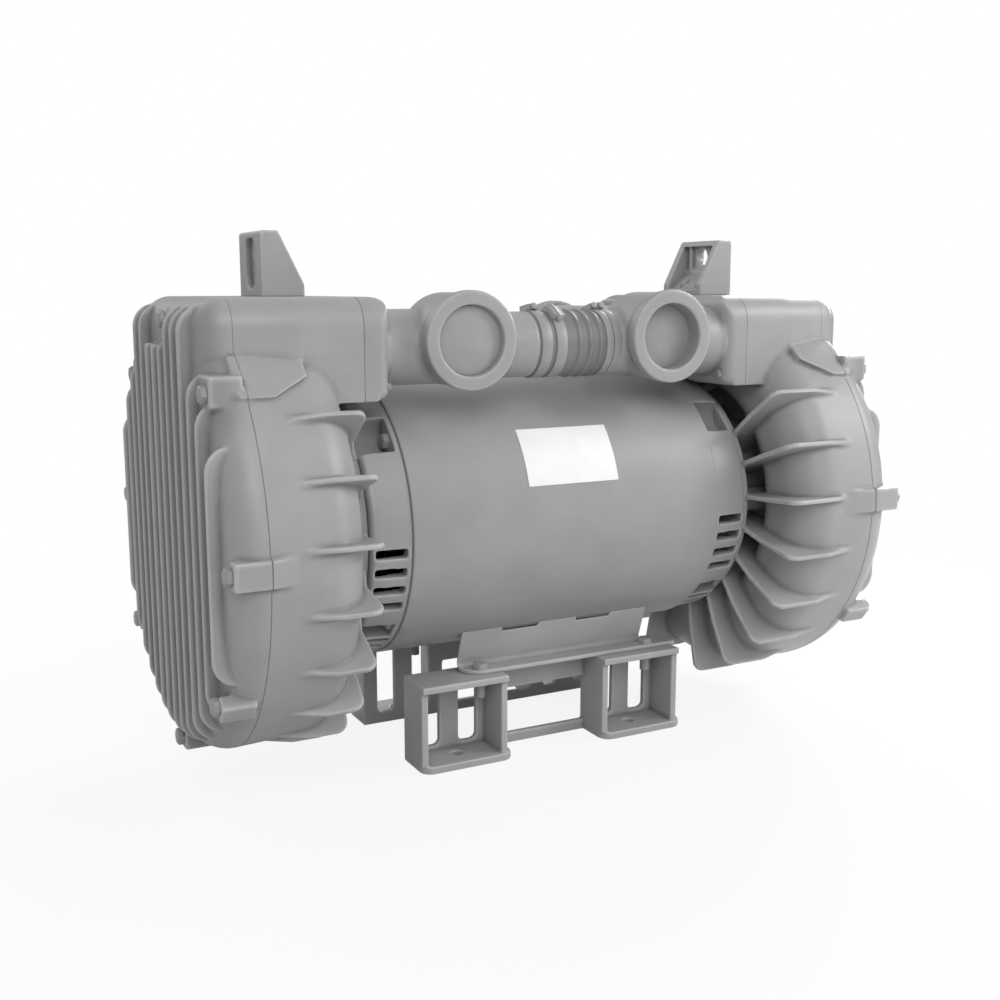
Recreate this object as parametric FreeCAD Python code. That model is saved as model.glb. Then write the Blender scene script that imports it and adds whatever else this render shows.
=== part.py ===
import FreeCAD, Part
import math
import os

from collections import namedtuple
from FreeCAD import Rotation, Vector

# Regenerative blower with one motor and a blower on each end of its shaft, in millimetres
# X runs along the shaft, Y to the back and Z up; the origin is on the floor under the middle

# Stands, one casting under each side of the motor
stand_height = 104.0
stand_front = 122.7
stand_depth = 58.0
block_pitch = 241.5
block_width = 110.0
stand_wall = 8.0
stand_top = 8.0
stand_base = 9.0
base_lip = 7.0
base_corner = 14.0
back_post = 25.0
back_frame = 19.0
lower_bar = 13.0
upper_bar = 34.0
base_hole_radius = 7.0
base_hole_inset = 30.0

# Motor shell and its feet
axis_over_stand = 179.5
shell_radius = 160.0
shell_half = 201.0
shell_wall = 9.0
foot_plate = 5.0
foot_half_length = 127.5
foot_middle = 14.0
foot_overhang = 38.0
foot_edge = 107.0
foot_root = 80.0
foot_touch_angle = 53.0
foot_bend = 6.0
foot_corner = 26.0
foot_gap_length = 48.0
foot_gap_depth = 6.0
foot_bolt_pitch = 232.0
foot_bolt_line = 96.5
foot_bolt_radius = 6.0
foot_bolt_hex = 17.0

# Stator and rotor inside the shell
stator_half = 92.0
stator_bore = 96.0
stator_slots = 24
slot_width = 9.0
slot_depth = 26.0
winding_reach = 42.0
air_gap = 0.8
cage_ring = 14.0
cage_blades = 12
fan_plate = 4.0
fan_depth = 20.0
fan_gap = 5.0
fan_blades = 10
shaft_core_radius = 32.0
shaft_fan_radius = 28.0
shaft_bearing_radius = 25.0
shaft_seal_radius = 24.0
shaft_drive_radius = 20.0
shaft_thread_radius = 14.0

# End bells and bearings
bell_depth = 46.0
bell_wall = 8.0
bell_step = 2.5
bell_draft = 3.0
bell_round = 6.0
bell_spigot = 6.0
bell_hub_wall = 14.0
bell_bolt_circle = 143.0
bell_bolt_hex = 16.0
bell_bolt_radius = 5.0
bell_bolt_seat = 6.0
bell_pocket_upper = 23.0
bell_pocket_lower = 13.0
bell_pocket_depth = 13.0
bell_pocket_wall = 5.0
louvre_width = 10.0
louvre_angles = (5.0, 13.0, 21.0, 29.0, 53.0, 61.0, 69.0)
bearing_radius = 55.0
bearing_width = 27.0
ball_radius = 9.0
ball_count = 8
cage_wall = 3.0

# Blower casings
mount_face = 247.0
channel_back = 275.0
parting = 382.0
cover_face = 418.0
channel_radius = 240.0
channel_draft = 5.0
channel_inner = 141.0
channel_round = 45.0
cover_round = 34.0
casing_wall = 12.0
rim_wall = 16.0
hub_radius = 100.0
web_face = 318.0
rib_pitch = 16.0
rib_first = 36.0
rib_count = 8
rib_thickness = 6.0
rib_corner = 190.0
rib_crest = 310.0
rib_end = 362.0
rib_back = 265.0
flange_depth = 10.0
rib_stand = 7.0
gasket = 1.0
box_face = 218.0
box_seam = mount_face + gasket
box_half = 145.0
box_bottom = 148.5
flange_radius = box_bottom - 1.5
box_top = 256.5
box_round = 34.0
box_taper_start = 318.0
box_taper = 15.0
box_fillet = 30.0
divider = 20.0
boss_half = 14.0
low_boss_half = 11.0
low_boss_outer = 424.0
low_boss_angle = 37.0
hook_front = 178.0
hook_depth = 34.0
low_boss_depth = 36.0
arm_start = 316.0
arm_stand = 4.0
arm_low = 160.5
boss_radius = channel_radius + 6.0
boss_inner = 351.0
boss_outer = 419.0
casing_bolt_circle = channel_radius - 7.0
casing_bolt_radius = 5.0
casing_bolt_hex = 17.0
casing_bolt_end = 366.0
right_shallower = 9.0
raised_boss_angle = 2.6
fin_count = 14
fin_pitch = 30.15
fin_thickness = 6.0
fin_edge = 431.0
box_fin_half = 120.0
fin_radius = channel_radius - 11.0
fin_round = 26.0
fin_step = 206.5
stripper_half = 40.0
face_screw_circle = 114.3
face_screw_radius = 6.35
face_screw_hex = 19.0
face_screw_depth = 20.0
face_pad_radius = 15.0

# Impellers
impeller_gap = 1.0
impeller_width = 33.0
impeller_radius = 200.0
rim_radius = 149.0
rim_depth = 16.0
hub_outer = 44.0
blade_count = 36
blade_thickness = 3.0
disc_thickness = 10.0
key_width = 10.0
key_height = 8.0
nut_hex = 46.0
nut_height = 15.0
washer_thickness = 3.0

# Lifting lugs
lug_outer = 317.0
lug_top = 20.7
lug_foot = 49.0
lug_front = -21.7
lug_width = 83.3
lug_height = 70.7
lug_side = 10.0
lug_wall = 17.0
lug_base = 8.0
lug_slope = 14.0
lug_hole_radius = 11.0
lug_hole_drop = 20.5
lug_recess = 7.0
lug_screw_radius = 4.0
lug_screw_head = 6.5

# Air manifold along the front, and the ports
port_offset = 129.3
port_face = 158.7
port_rim_radius = 53.5
port_body_radius = 51.0
port_back = 62.0
neck_flare = 9.0
port_bore_radius = 38.1
port_depth_left = 8.0
port_depth_right = 20.0
port_rise = 210.2
port_over_line = 7.7
line_offset = 100.0
neck_radius = 41.0
neck_wall = 6.0
spigot_radius = 33.0
spigot_length = 26.0
hose_start = -34.0
hose_end = 72.0
hose_wall = 4.0
hose_ring = 2.2
hose_ring_places = (17.0, 31.0, 45.0)
hose_ring_width = 8.0
clamps = ((-26.0, 13.0, 100.0), (-7.0, 13.0, 60.0), (57.0, 9.0, 106.0), (67.0, 9.0, 106.0))
clamp_band = 1.2
clamp_housing = 20.0
clamp_screw_radius = 3.5
clamp_screw_length = 26.0
plug_thickness = 5.0
cap_bolt_radius = 3.0
cap_bolt_hex = 10.0
cap_bolt_length = 48.0

# Outlet elbows on the back of the same end caps
outlet_line = 96.0
outlet_drop = 4.0
outlet_offset = 155.0
outlet_face = 172.0
outlet_depth = 24.0
outlet_radius = 44.0
outlet_rim = 50.0
outlet_wall = 6.0
outlet_plate = 8.0

# Terminal box on the back of the motor, and the blank rating plate on the front
conduit_width = 150.0
conduit_height = 112.0
conduit_depth = 76.0
conduit_wall = 4.0
conduit_round = 10.0
conduit_screw_radius = 2.5
wire_hole_radius = 16.0
label_length = 118.0
label_low_angle = 17.0
label_high_angle = 42.0
label_thickness = 0.5
label_middle = 1.5

# Shaft seals
seal_radius = 36.0

# Clearances
seat_gap = 0.1
run_gap = 0.3
thread_gap = 0.1
hole_gap = 0.5

axis_height = stand_height + axis_over_stand
axis_point = Vector(0, 0, axis_height)
x_direction = Vector(1, 0, 0)
y_direction = Vector(0, 1, 0)
z_direction = Vector(0, 0, 1)
channel_bore = channel_radius - rim_wall
impeller_middle = web_face + casing_wall + impeller_gap + impeller_width / 2 + 5.0
bell_end = shell_half + bell_depth
bearing_outer_end = bell_end - bell_wall + 1.0
bearing_inner_end = bearing_outer_end - bearing_width
port_height = axis_height + port_rise
line_height = port_height - port_over_line
outlet_height = line_height - outlet_drop
collar_radius = spigot_radius + seat_gap + hose_wall
impeller_start = impeller_middle - impeller_width / 2
impeller_end = impeller_middle + impeller_width / 2
box_low = axis_height + box_bottom
box_high = axis_height + box_top


def on_xz(y):
    return lambda u, v: Vector(u, y, v)


def on_yz(x):
    return lambda u, v: Vector(x, u, v)


def on_xy(z):
    return lambda u, v: Vector(u, v, z)


def about_axis(x, radius):
    return Vector(x, 0, axis_height + radius)


def rounded_wire(corners, place):
    """A closed wire through (u, v, radius) corners, each rounded by its radius."""
    count = len(corners)
    entries = []
    for i in range(count):
        u, v, radius = corners[i]
        here = Vector(u, v, 0)
        before = Vector(corners[i - 1][0], corners[i - 1][1], 0)
        after = Vector(corners[(i + 1) % count][0], corners[(i + 1) % count][1], 0)
        back = (before - here).normalize()
        ahead = (after - here).normalize()
        half_angle = back.getAngle(ahead) / 2
        if radius <= 0:
            entries.append((here, None, here))
            continue
        reach = radius / math.tan(half_angle)
        bisector = (back + ahead).normalize()
        centre = here + bisector * (radius / math.sin(half_angle))
        entries.append((here + back * reach, centre - bisector * radius, here + ahead * reach))
    edges = []
    for i in range(count):
        start, middle, end = entries[i]
        if middle is not None:
            edges.append(Part.Arc(place(start.x, start.y), place(middle.x, middle.y),
                                  place(end.x, end.y)).toShape())
        following = entries[(i + 1) % count][0]
        if (following - end).Length > 1e-6:
            edges.append(Part.LineSegment(place(end.x, end.y), place(following.x, following.y)).toShape())
    return Part.Wire(edges)


def prism(corners, place, direction):
    return Part.Face(rounded_wire(corners, place)).extrude(direction)


def turned(corners):
    """A solid of revolution about the shaft from (x, radius, round) corners."""
    return Part.Face(rounded_wire(corners, about_axis)).revolve(axis_point, x_direction, 360)


def block(x0, x1, y0, y1, z0, z1):
    return Part.makeBox(x1 - x0, y1 - y0, z1 - z0, Vector(x0, y0, z0))


def rod_x(x0, x1, radius, y=0.0, z=None):
    height = axis_height if z is None else z
    return Part.makeCylinder(radius, x1 - x0, Vector(x0, y, height), x_direction)


def rod_y(y0, y1, radius, x, z):
    return Part.makeCylinder(radius, y1 - y0, Vector(x, y0, z), y_direction)


def rod_z(z0, z1, radius, x, y):
    return Part.makeCylinder(radius, z1 - z0, Vector(x, y, z0), z_direction)


def tube_x(x0, x1, outer, inner, y=0.0, z=None):
    return rod_x(x0, x1, outer, y, z).cut(rod_x(x0 - 1, x1 + 1, inner, y, z))


def at_angle(shape, angle):
    """Turns a shape made at the front of the shaft upwards by an angle in degrees."""
    turned_shape = shape.copy()
    turned_shape.rotate(axis_point, x_direction, -angle)
    return turned_shape


def mirrored(shape, normal):
    return shape.mirror(Vector(0, 0, 0), normal)


def hex_head(length, across):
    """A hexagonal prism that runs from the origin towards -X."""
    corner = across / math.sqrt(3)
    points = [Vector(0, corner * math.cos(math.radians(60 * i)), corner * math.sin(math.radians(60 * i)))
              for i in range(7)]
    return Part.Face(Part.makePolygon(points)).extrude(Vector(-length, 0, 0))


def hex_bolt(length, radius, across):
    """A bolt that runs along +X, its head's underside at the origin."""
    head = hex_head(across * 0.4, across)
    return head.fuse(Part.makeCylinder(radius, length, Vector(0, 0, 0), x_direction)).removeSplitter()


def placed(shape, point, direction):
    copy = shape.copy()
    copy.Placement = FreeCAD.Placement(point, Rotation(x_direction, direction))
    return copy


def ring_point(x, radius, angle):
    """A point at an angle above the front, about the shaft."""
    turn = math.radians(angle)
    return Vector(x, -radius * math.cos(turn), axis_height + radius * math.sin(turn))


def save(name, shapes):
    solids = []
    for shape in shapes:
        solids.extend(shape.Solids)
    shape = solids[0] if len(solids) == 1 else Part.makeCompound(solids)
    shape.exportStep("parts/" + name + ".step")


def save_two(name, right, left):
    """Writes a right-hand piece and a left-hand one, each given in its right-hand place."""
    save(name + "_right", right)
    save(name + "_left", [mirrored(shape, x_direction) for shape in left])


def save_pair(name, shapes):
    save_two(name, shapes, shapes)


def save_both(name, shapes):
    """Writes the right-hand pieces and their mirror images as one group."""
    save(name, shapes + [mirrored(shape, x_direction) for shape in shapes])


# Stands and feet
def make_stand():
    front = -stand_front
    back = front + stand_depth
    solid = None
    for side in (-1, 1):
        middle = side * block_pitch / 2
        left = middle - block_width / 2
        right = middle + block_width / 2
        base = prism(
            [(left, front, base_corner), (right + base_lip, front, base_corner),
             (right + base_lip, back, 0), (left, back, 0)],
            on_xy(0), Vector(0, 0, stand_base))
        top = block(left, right, front, back, stand_height - stand_top, stand_height)
        frame = block(left, right, front + base_corner * 0.3, back, stand_base, stand_height)
        hollow = block(left + stand_wall, right - stand_wall, front - 1, back - stand_wall,
                       stand_base, stand_height - stand_top)
        frame = frame.cut(hollow)
        window_low = stand_base + 5.0
        for edge in (-1, 1):
            near = middle + edge * back_post / 2
            far = middle + edge * (block_width / 2 - back_frame)
            window = prism(
                [(min(near, far), window_low, 7), (max(near, far), window_low, 7),
                 (max(near, far), stand_height - stand_top, 0),
                 (min(near, far), stand_height - stand_top, 0)],
                on_xz(back - stand_wall - 1), Vector(0, stand_wall + 2, 0))
            frame = frame.cut(window)
        piece = base.fuse([top, frame])
        solid = piece if solid is None else solid.fuse(piece)
    inner = block_pitch / 2 - block_width / 2
    low = block(-inner, inner, back - stand_wall, back, 0, lower_bar)
    high = block(-inner, inner, back - stand_wall, back, stand_height - upper_bar, stand_height)
    solid = solid.fuse([low, high])
    holes = []
    for side in (-1, 1):
        holes.append(rod_z(-1, stand_base + 1, base_hole_radius, side * block_pitch / 2,
                           front + base_hole_inset))
        holes.append(rod_z(stand_height - stand_top - 1, stand_height + 1, foot_bolt_radius + hole_gap,
                           foot_bolt_x(side), -foot_bolt_line))
    return solid.cut(holes).removeSplitter()


def foot_bolt_x(side):
    return foot_middle + side * foot_bolt_pitch / 2 + 11.0


def make_foot():
    start = foot_middle - foot_half_length
    end = foot_middle + foot_half_length + foot_overhang
    low = stand_height
    high = low + foot_plate
    touch = ring_point(0, shell_radius, -foot_touch_angle)
    reach = touch.z + 12.0
    lean = (touch.y + foot_root) / (touch.z - high)
    tip = touch.y + lean * (reach - touch.z)
    section = prism(
        [(-foot_edge, low, 0), (-foot_root + foot_plate, low, foot_bend + foot_plate),
         (tip + foot_plate, reach, 0), (tip, reach, 0), (-foot_root, high, foot_bend), (-foot_edge, high,
                                                                                        0)],
        on_yz(start), Vector(end - start, 0, 0))
    shell = rod_x(start - 1, end + 1, shell_radius)
    wall_end = end - foot_overhang
    beyond = block(wall_end, end + 1, -foot_edge - 50, 0, high + 0.01, reach + 1)
    plate = section.cut([shell, beyond])
    corner = block(start - 1, start + foot_corner, -foot_edge - 1, -foot_edge + foot_corner, low - 1,
                   high + foot_bend)
    corner = corner.cut(rod_z(low - 2, high + foot_bend + 1, foot_corner, start + foot_corner,
                              -foot_edge + foot_corner))
    plate = plate.cut(corner)
    tab = (2 * foot_half_length - 2 * foot_gap_length) / 3
    gap_low = touch.z - foot_gap_depth
    for index in range(2):
        gap_start = start + tab + index * (tab + foot_gap_length)
        plate = plate.cut(block(gap_start, gap_start + foot_gap_length, -foot_edge, 0, gap_low, reach + 1))
    holes = [rod_z(low - 1, high + 1, foot_bolt_radius + hole_gap, foot_bolt_x(side), -foot_bolt_line)
             for side in (-1, 1)]
    plate = plate.cut(holes)
    return max(plate.Solids, key=lambda solid: solid.Volume)


def make_foot_bolts():
    bolt = hex_bolt(foot_plate + stand_top + 22.0, foot_bolt_radius, foot_bolt_hex)
    bolts = []
    for y in (-foot_bolt_line, foot_bolt_line):
        for side in (-1, 1):
            top = Vector(foot_bolt_x(side), y, stand_height + foot_plate)
            bolts.append(placed(bolt, top, -z_direction))
    return bolts


def make_foot_nuts():
    height = foot_bolt_hex * 0.45
    nut = hex_head(height, foot_bolt_hex)
    nut = nut.cut(Part.makeCylinder(foot_bolt_radius + thread_gap, height + 2, Vector(-height - 1, 0, 0),
                                    x_direction))
    under = stand_height - stand_top
    return [placed(nut, Vector(foot_bolt_x(side), y, under), z_direction)
            for y in (-foot_bolt_line, foot_bolt_line) for side in (-1, 1)]


# Motor shell, stator and rotor
def make_shell():
    inner = shell_radius - shell_wall
    shell = tube_x(-shell_half, shell_half, shell_radius, inner)
    wire_hole = rod_y(inner - 20, shell_radius + 20, wire_hole_radius, 0, axis_height)
    shell = shell.cut(wire_hole)
    lug = block(shell_half - 52, shell_half - bell_spigot, -inner - 3, -inner + 18, axis_height - 11,
                axis_height + 11)
    hole = rod_x(shell_half - 40, shell_half, bell_bolt_radius + thread_gap, -bell_bolt_circle)
    lug = lug.cut(hole)
    lugs = []
    for angle in (45, 135, 225, 315):
        right = at_angle(lug, angle)
        lugs.extend([right, mirrored(right, x_direction)])
    return shell.fuse(lugs).removeSplitter()


def make_stator_core():
    outer = shell_radius - shell_wall - seat_gap
    core = tube_x(-stator_half, stator_half, outer, stator_bore)
    slot = block(-stator_half - 1, stator_half + 1, -stator_bore - slot_depth, -stator_bore + 5,
                 axis_height - slot_width / 2, axis_height + slot_width / 2)
    return core.cut([at_angle(slot, index * 360 / stator_slots) for index in range(stator_slots)])


def make_windings():
    reach = stator_half + winding_reach
    low = stator_bore + 4.0
    high = stator_bore + slot_depth + 8.0
    heads = [turned([(side * stator_half, low, 0), (side * stator_half, high, 0),
                     (side * reach, high, 9), (side * reach, low, 9)]) for side in (-1, 1)]
    half = slot_width / 2 - run_gap
    bar = block(-stator_half - 1, stator_half + 1, -stator_bore - slot_depth + run_gap, -low - 2,
                axis_height - half, axis_height + half)
    bars = [at_angle(bar, index * 360 / stator_slots) for index in range(stator_slots)]
    return heads[0].fuse([heads[1]] + bars)


def make_shaft():
    shoulders = [(stator_half + cage_ring + 4, shaft_core_radius), (bearing_inner_end, shaft_fan_radius),
                 (bearing_outer_end + 4, shaft_bearing_radius), (impeller_start, shaft_seal_radius),
                 (impeller_end - 2, shaft_drive_radius), (impeller_end + washer_thickness + nut_height + 5,
                                                          shaft_thread_radius)]
    half = [(0, 0, 0)]
    inner_x = 0
    for x, radius in shoulders:
        half.extend([(inner_x, radius, 0), (x, radius, 0)])
        inner_x = x
    half.append((inner_x, 0, 0))
    right = turned(half)
    shaft = right.fuse(mirrored(right, x_direction)).removeSplitter()
    key = key_block()
    return shaft.cut([key, mirrored(key, x_direction)])


def key_block():
    low = axis_height + shaft_drive_radius - key_height / 2
    return block(impeller_start + 2, impeller_end - 2, -key_width / 2, key_width / 2, low, low + key_height)


def make_rotor_core():
    return tube_x(-stator_half, stator_half, stator_bore - air_gap, shaft_core_radius + seat_gap)


def make_rotor_cage():
    outer = stator_bore - air_gap - 3.0
    ring = tube_x(stator_half, stator_half + cage_ring, outer, outer - 26.0)
    blade = block(stator_half + cage_ring, stator_half + winding_reach - 6, -outer + 2, -outer + 22,
                  axis_height - 2, axis_height + 2)
    blades = [at_angle(blade, index * 360 / cage_blades) for index in range(cage_blades)]
    right = ring.fuse(blades).removeSplitter()
    return [right, mirrored(right, x_direction)]


def make_fan():
    inner = shell_radius - shell_wall - 24.0
    start = stator_half + winding_reach + fan_gap
    plate = tube_x(start, start + fan_plate, inner, shaft_fan_radius + seat_gap)
    hub = tube_x(start, start + fan_plate + fan_depth, shaft_fan_radius + 12, shaft_fan_radius + seat_gap)
    blade = block(start + fan_plate, start + fan_plate + fan_depth, -inner + 1, -shaft_fan_radius - 26,
                  axis_height - 1.5, axis_height + 1.5)
    blades = [at_angle(blade, index * 360 / fan_blades) for index in range(fan_blades)]
    return plate.fuse([hub] + blades).removeSplitter()


# End bells and bearings
def make_bell():
    outer = shell_radius - bell_step
    tip = outer - bell_draft
    inner = shell_radius - shell_wall
    hub = bearing_radius + bell_hub_wall
    body = turned([(shell_half, 0, 0), (shell_half, outer, 0), (bell_end, tip, bell_round),
                   (bell_end, 0, 0)])
    spigot = turned([(shell_half - bell_spigot, 0, 0), (shell_half - bell_spigot, inner - seat_gap, 0),
                     (shell_half, inner - seat_gap, 0), (shell_half, 0, 0)])
    hollow = turned([(shell_half - bell_spigot - 1, hub, 0),
                     (shell_half - bell_spigot - 1, inner - bell_wall, 0),
                     (bell_end - bell_wall, tip - bell_wall, bell_round - 4), (bell_end - bell_wall, hub,
                                                                               0)])
    clear = rod_x(shell_half - bell_spigot - 1, bearing_inner_end, hub + 1)
    bell = body.fuse(spigot).cut([hollow, clear])
    seat = rod_x(bearing_inner_end - 1, bearing_outer_end, bearing_radius + seat_gap)
    passage = rod_x(bearing_outer_end - 1, bell_end + 1, shaft_bearing_radius + 6.0)
    half = louvre_width / 2
    slot = block(shell_half + 5, bell_end - 5, -outer - 5, -inner + bell_wall + 12, axis_height - half,
                 axis_height + half)
    cuts = [seat, passage]
    for angle in louvre_angles:
        cuts.extend([at_angle(slot, -angle), at_angle(slot, angle - 180)])
    bolt_hole = rod_x(shell_half - bell_spigot - 1, bell_end, bell_bolt_radius + hole_gap, -bell_bolt_circle)
    floor = -bell_bolt_circle + bell_pocket_depth
    pads = []
    for angle, half in ((45, bell_pocket_upper), (135, bell_pocket_upper), (225, bell_pocket_lower),
                        (315, bell_pocket_lower)):
        wide = half + bell_pocket_wall
        pad = block(shell_half - bell_spigot, bell_end - 2, -inner + seat_gap + 1, floor + bell_pocket_wall,
                    axis_height - wide, axis_height + wide)
        pads.append(at_angle(pad.common(body.fuse(spigot)), angle))
        pocket = prism(
            [(-outer - 5, axis_height - half, 0), (-outer - 5, axis_height + half, 0),
             (floor, axis_height + half, half - 2),
             (floor, axis_height - half, half - 2)],
            on_yz(shell_half + bell_bolt_seat), Vector(bell_depth, 0, 0))
        cuts.extend([at_angle(pocket, angle), at_angle(bolt_hole, angle)])
    for point in face_screw_points(bell_end - face_screw_depth - 2):
        pads.append(rod_x(point.x - 3, bell_end - 1, face_pad_radius, point.y, point.z))
        cuts.append(rod_x(point.x, bell_end + 1, face_screw_radius + thread_gap, point.y, point.z))
    return bell.fuse(pads).cut(cuts).removeSplitter()


def make_bell_bolts():
    bolt = hex_bolt(bell_bolt_seat + bell_spigot + 26, bell_bolt_radius, bell_bolt_hex)
    bolts = []
    for angle in (45, 135, 225, 315):
        point = ring_point(shell_half + bell_bolt_seat, bell_bolt_circle, angle)
        right = placed(bolt, point, -x_direction)
        bolts.extend([right, mirrored(right, x_direction)])
    return bolts


def face_screw_points(x):
    return [ring_point(x, face_screw_circle, angle) for angle in (0, 90, 180, 270)]


def bearing_middle():
    return (bearing_inner_end + bearing_outer_end) / 2


def ball_circle():
    return (bearing_radius + shaft_bearing_radius) / 2


def make_outer_race():
    race = tube_x(bearing_inner_end, bearing_outer_end, bearing_radius, ball_circle() + ball_radius * 0.55)
    groove = Part.makeTorus(ball_circle(), ball_radius + run_gap, Vector(bearing_middle(), 0, axis_height),
                            x_direction)
    return race.cut(groove)


def make_inner_race():
    race = tube_x(bearing_inner_end, bearing_outer_end, ball_circle() - ball_radius * 0.55,
                  shaft_bearing_radius + seat_gap)
    groove = Part.makeTorus(ball_circle(), ball_radius + run_gap, Vector(bearing_middle(), 0, axis_height),
                            x_direction)
    return race.cut(groove)


def make_ball_set():
    middle = bearing_middle()
    cage = tube_x(middle - 3, middle + 3, ball_circle() + cage_wall, ball_circle() - cage_wall)
    ball = Part.makeSphere(ball_radius, ring_point(middle, ball_circle(), 0), z_direction)
    return cage.fuse([at_angle(ball, index * 360 / ball_count) for index in range(ball_count)])


def make_seal():
    return tube_x(web_face - 5, web_face + 7, seal_radius, shaft_seal_radius + run_gap)


def make_label():
    outer = shell_radius + seat_gap + label_thickness
    start = label_middle - label_length / 2
    ring = tube_x(start, start + label_length, outer, shell_radius + seat_gap)
    wedge = prism([(0, axis_height, 0)] + [(ring_point(0, shell_radius * 1.5, angle).y,
                                            ring_point(0, shell_radius * 1.5, angle).z, 0)
                                           for angle in (label_low_angle, label_high_angle)],
                  on_yz(start - 1), Vector(label_length + 2, 0, 0))
    return ring.common(wedge)


# Terminal box
def conduit_outline(inset, start, length):
    half_x = conduit_width / 2 - inset
    half_z = conduit_height / 2 - inset
    soft = conduit_round - inset
    corners = [(-half_x, axis_height - half_z, soft), (half_x, axis_height - half_z, soft),
               (half_x, axis_height + half_z, soft), (-half_x, axis_height + half_z, soft)]
    return prism(corners, on_xz(start), Vector(0, length, 0))


def conduit_screw_places():
    reach_x = conduit_width / 2 - conduit_round
    reach_z = conduit_height / 2 - conduit_round
    return [(x, axis_height + z) for x in (-reach_x, reach_x) for z in (-reach_z, reach_z)]


def conduit_back():
    return shell_radius + conduit_depth


def make_conduit_box():
    floor = shell_radius + 2 * conduit_wall
    body = conduit_outline(0, shell_radius - 40, conduit_depth + 40)
    hollow = conduit_outline(conduit_wall, floor, conduit_depth)
    posts = [rod_y(floor - 1, conduit_back(), conduit_round - conduit_wall + 2, x, z) for x,
             z in conduit_screw_places()]
    body = body.cut(hollow).fuse([post.common(conduit_outline(1, floor - 2,
                                                              conduit_depth)) for post in posts])
    cuts = [rod_y(conduit_back() - 16, conduit_back() + 1, conduit_screw_radius + thread_gap, x, z)
            for x, z in conduit_screw_places()]
    cuts.append(rod_x(-conduit_width, conduit_width, shell_radius + seat_gap))
    cuts.append(rod_y(shell_radius - 20, floor + 1, wire_hole_radius, 0, axis_height))
    return body.cut(cuts).removeSplitter()


def make_conduit_cover():
    plate = conduit_outline(0, conduit_back(), conduit_wall)
    end = conduit_back() + conduit_wall
    holes = [rod_y(conduit_back() - 1, end + 1, conduit_screw_radius + hole_gap, x, z)
             for x, z in conduit_screw_places()]
    return plate.cut(holes)


def make_conduit_screws():
    seat = conduit_back() + conduit_wall
    screws = []
    for x, z in conduit_screw_places():
        head = rod_y(seat, seat + 2.4, conduit_screw_radius * 1.9, x, z)
        slot = block(x - 6, x + 6, seat + 1.2, seat + 3, z - 0.6, z + 0.6)
        screw = head.fuse(rod_y(seat - 16, seat, conduit_screw_radius, x, z)).removeSplitter()
        screws.append(screw.cut(slot))
    return screws


# Blower casings; one blower differs from the other in depth and in the height of its middle bosses
Blower = namedtuple("Blower", "parting cover_face boss_inner boss_outer low_boss_outer fin_edge bolt_end "
                    "rib_back front_boss rear_boss")


def blower(shallower, front_boss, rear_boss):
    return Blower(parting - shallower, cover_face - shallower, boss_inner - 2 * shallower,
                  boss_outer - shallower, low_boss_outer - shallower, fin_edge - shallower * 1.2,
                  casing_bolt_end - shallower, rib_back - 2 * shallower, front_boss, rear_boss)


def channel_cavity(side):
    back = channel_back + casing_wall
    face = side.cover_face - casing_wall
    inner = channel_inner + 9.0
    return turned([(back, inner, channel_round - casing_wall - 12),
                   (back, channel_bore, channel_round - casing_wall),
                   (face, channel_bore, cover_round - casing_wall + 2), (face, inner,
                                                                         cover_round - casing_wall)])


def ring_form(side):
    return turned([
        (mount_face, 0, 0), (mount_face, hub_radius, 6), (web_face, hub_radius, 0), (web_face,
                                                                                     channel_inner, 0),
        (channel_back, channel_inner, channel_round - 18), (channel_back, channel_radius - channel_draft,
                                                            channel_round),
        (side.parting, channel_radius, 0), (side.cover_face, channel_radius,
                                            cover_round), (side.cover_face, 0, 0)])


def box_form(side):
    """The air box of one blower: crisp at its inner end, drawn in and rounded at its outer end."""
    end_half = box_half - box_taper
    box = prism(
        [(box_face, -box_half, 0), (box_taper_start, -box_half, 0), (side.cover_face, -end_half, box_round),
         (side.cover_face, end_half, box_round), (box_taper_start, box_half, 0), (box_face, box_half, 0)],
        on_xy(box_low), Vector(0, 0, box_high - box_low))
    top = []
    for edge in box.Edges:
        centre = edge.CenterOfMass
        if centre.x < box_face + 1:
            continue
        if centre.z > box_high - 1:
            top.append(edge)
    return box.makeFillet(box_fillet, top)


def stripper_block(side):
    reach = rod_x(channel_back - 5, side.cover_face + 5, channel_bore + 8)
    body = block(channel_back - 6, side.cover_face + 6, -stripper_half, stripper_half,
                 axis_height + channel_inner, box_high)
    return body.common(reach)


def air_chambers(side):
    inner_half = box_half - casing_wall
    low = box_low + casing_wall
    high = box_high - casing_wall
    chamber = prism(
        [(divider / 2, low, 8), (inner_half, low, 20), (inner_half, high, 20), (divider / 2, high, 8)],
        on_yz(box_face + casing_wall), Vector(side.cover_face - box_face - 2 * casing_wall, 0, 0))
    end = side.cover_face - casing_wall
    end_half = box_half - box_taper - casing_wall
    taper = prism([(box_face, 0, 0), (box_face, inner_half + 1, 0), (box_taper_start, inner_half, 0),
                   (end, end_half, 20),
                   (end, 0, 0)], on_xy(low - 1), Vector(0, 0, high - low + 2))
    over_bell = rod_x(box_face, mount_face + 6, shell_radius + run_gap * 10 + 9)
    chamber = chamber.common(taper).cut(over_bell)
    return [chamber, mirrored(chamber, y_direction)]


def air_cavity(side):
    cavity = channel_cavity(side).fuse(air_chambers(side))
    return cavity.cut(stripper_block(side))


def impeller_envelope():
    half = impeller_width / 2 + impeller_gap
    return rod_x(impeller_middle - half, impeller_middle + half, impeller_radius + impeller_gap)


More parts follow.
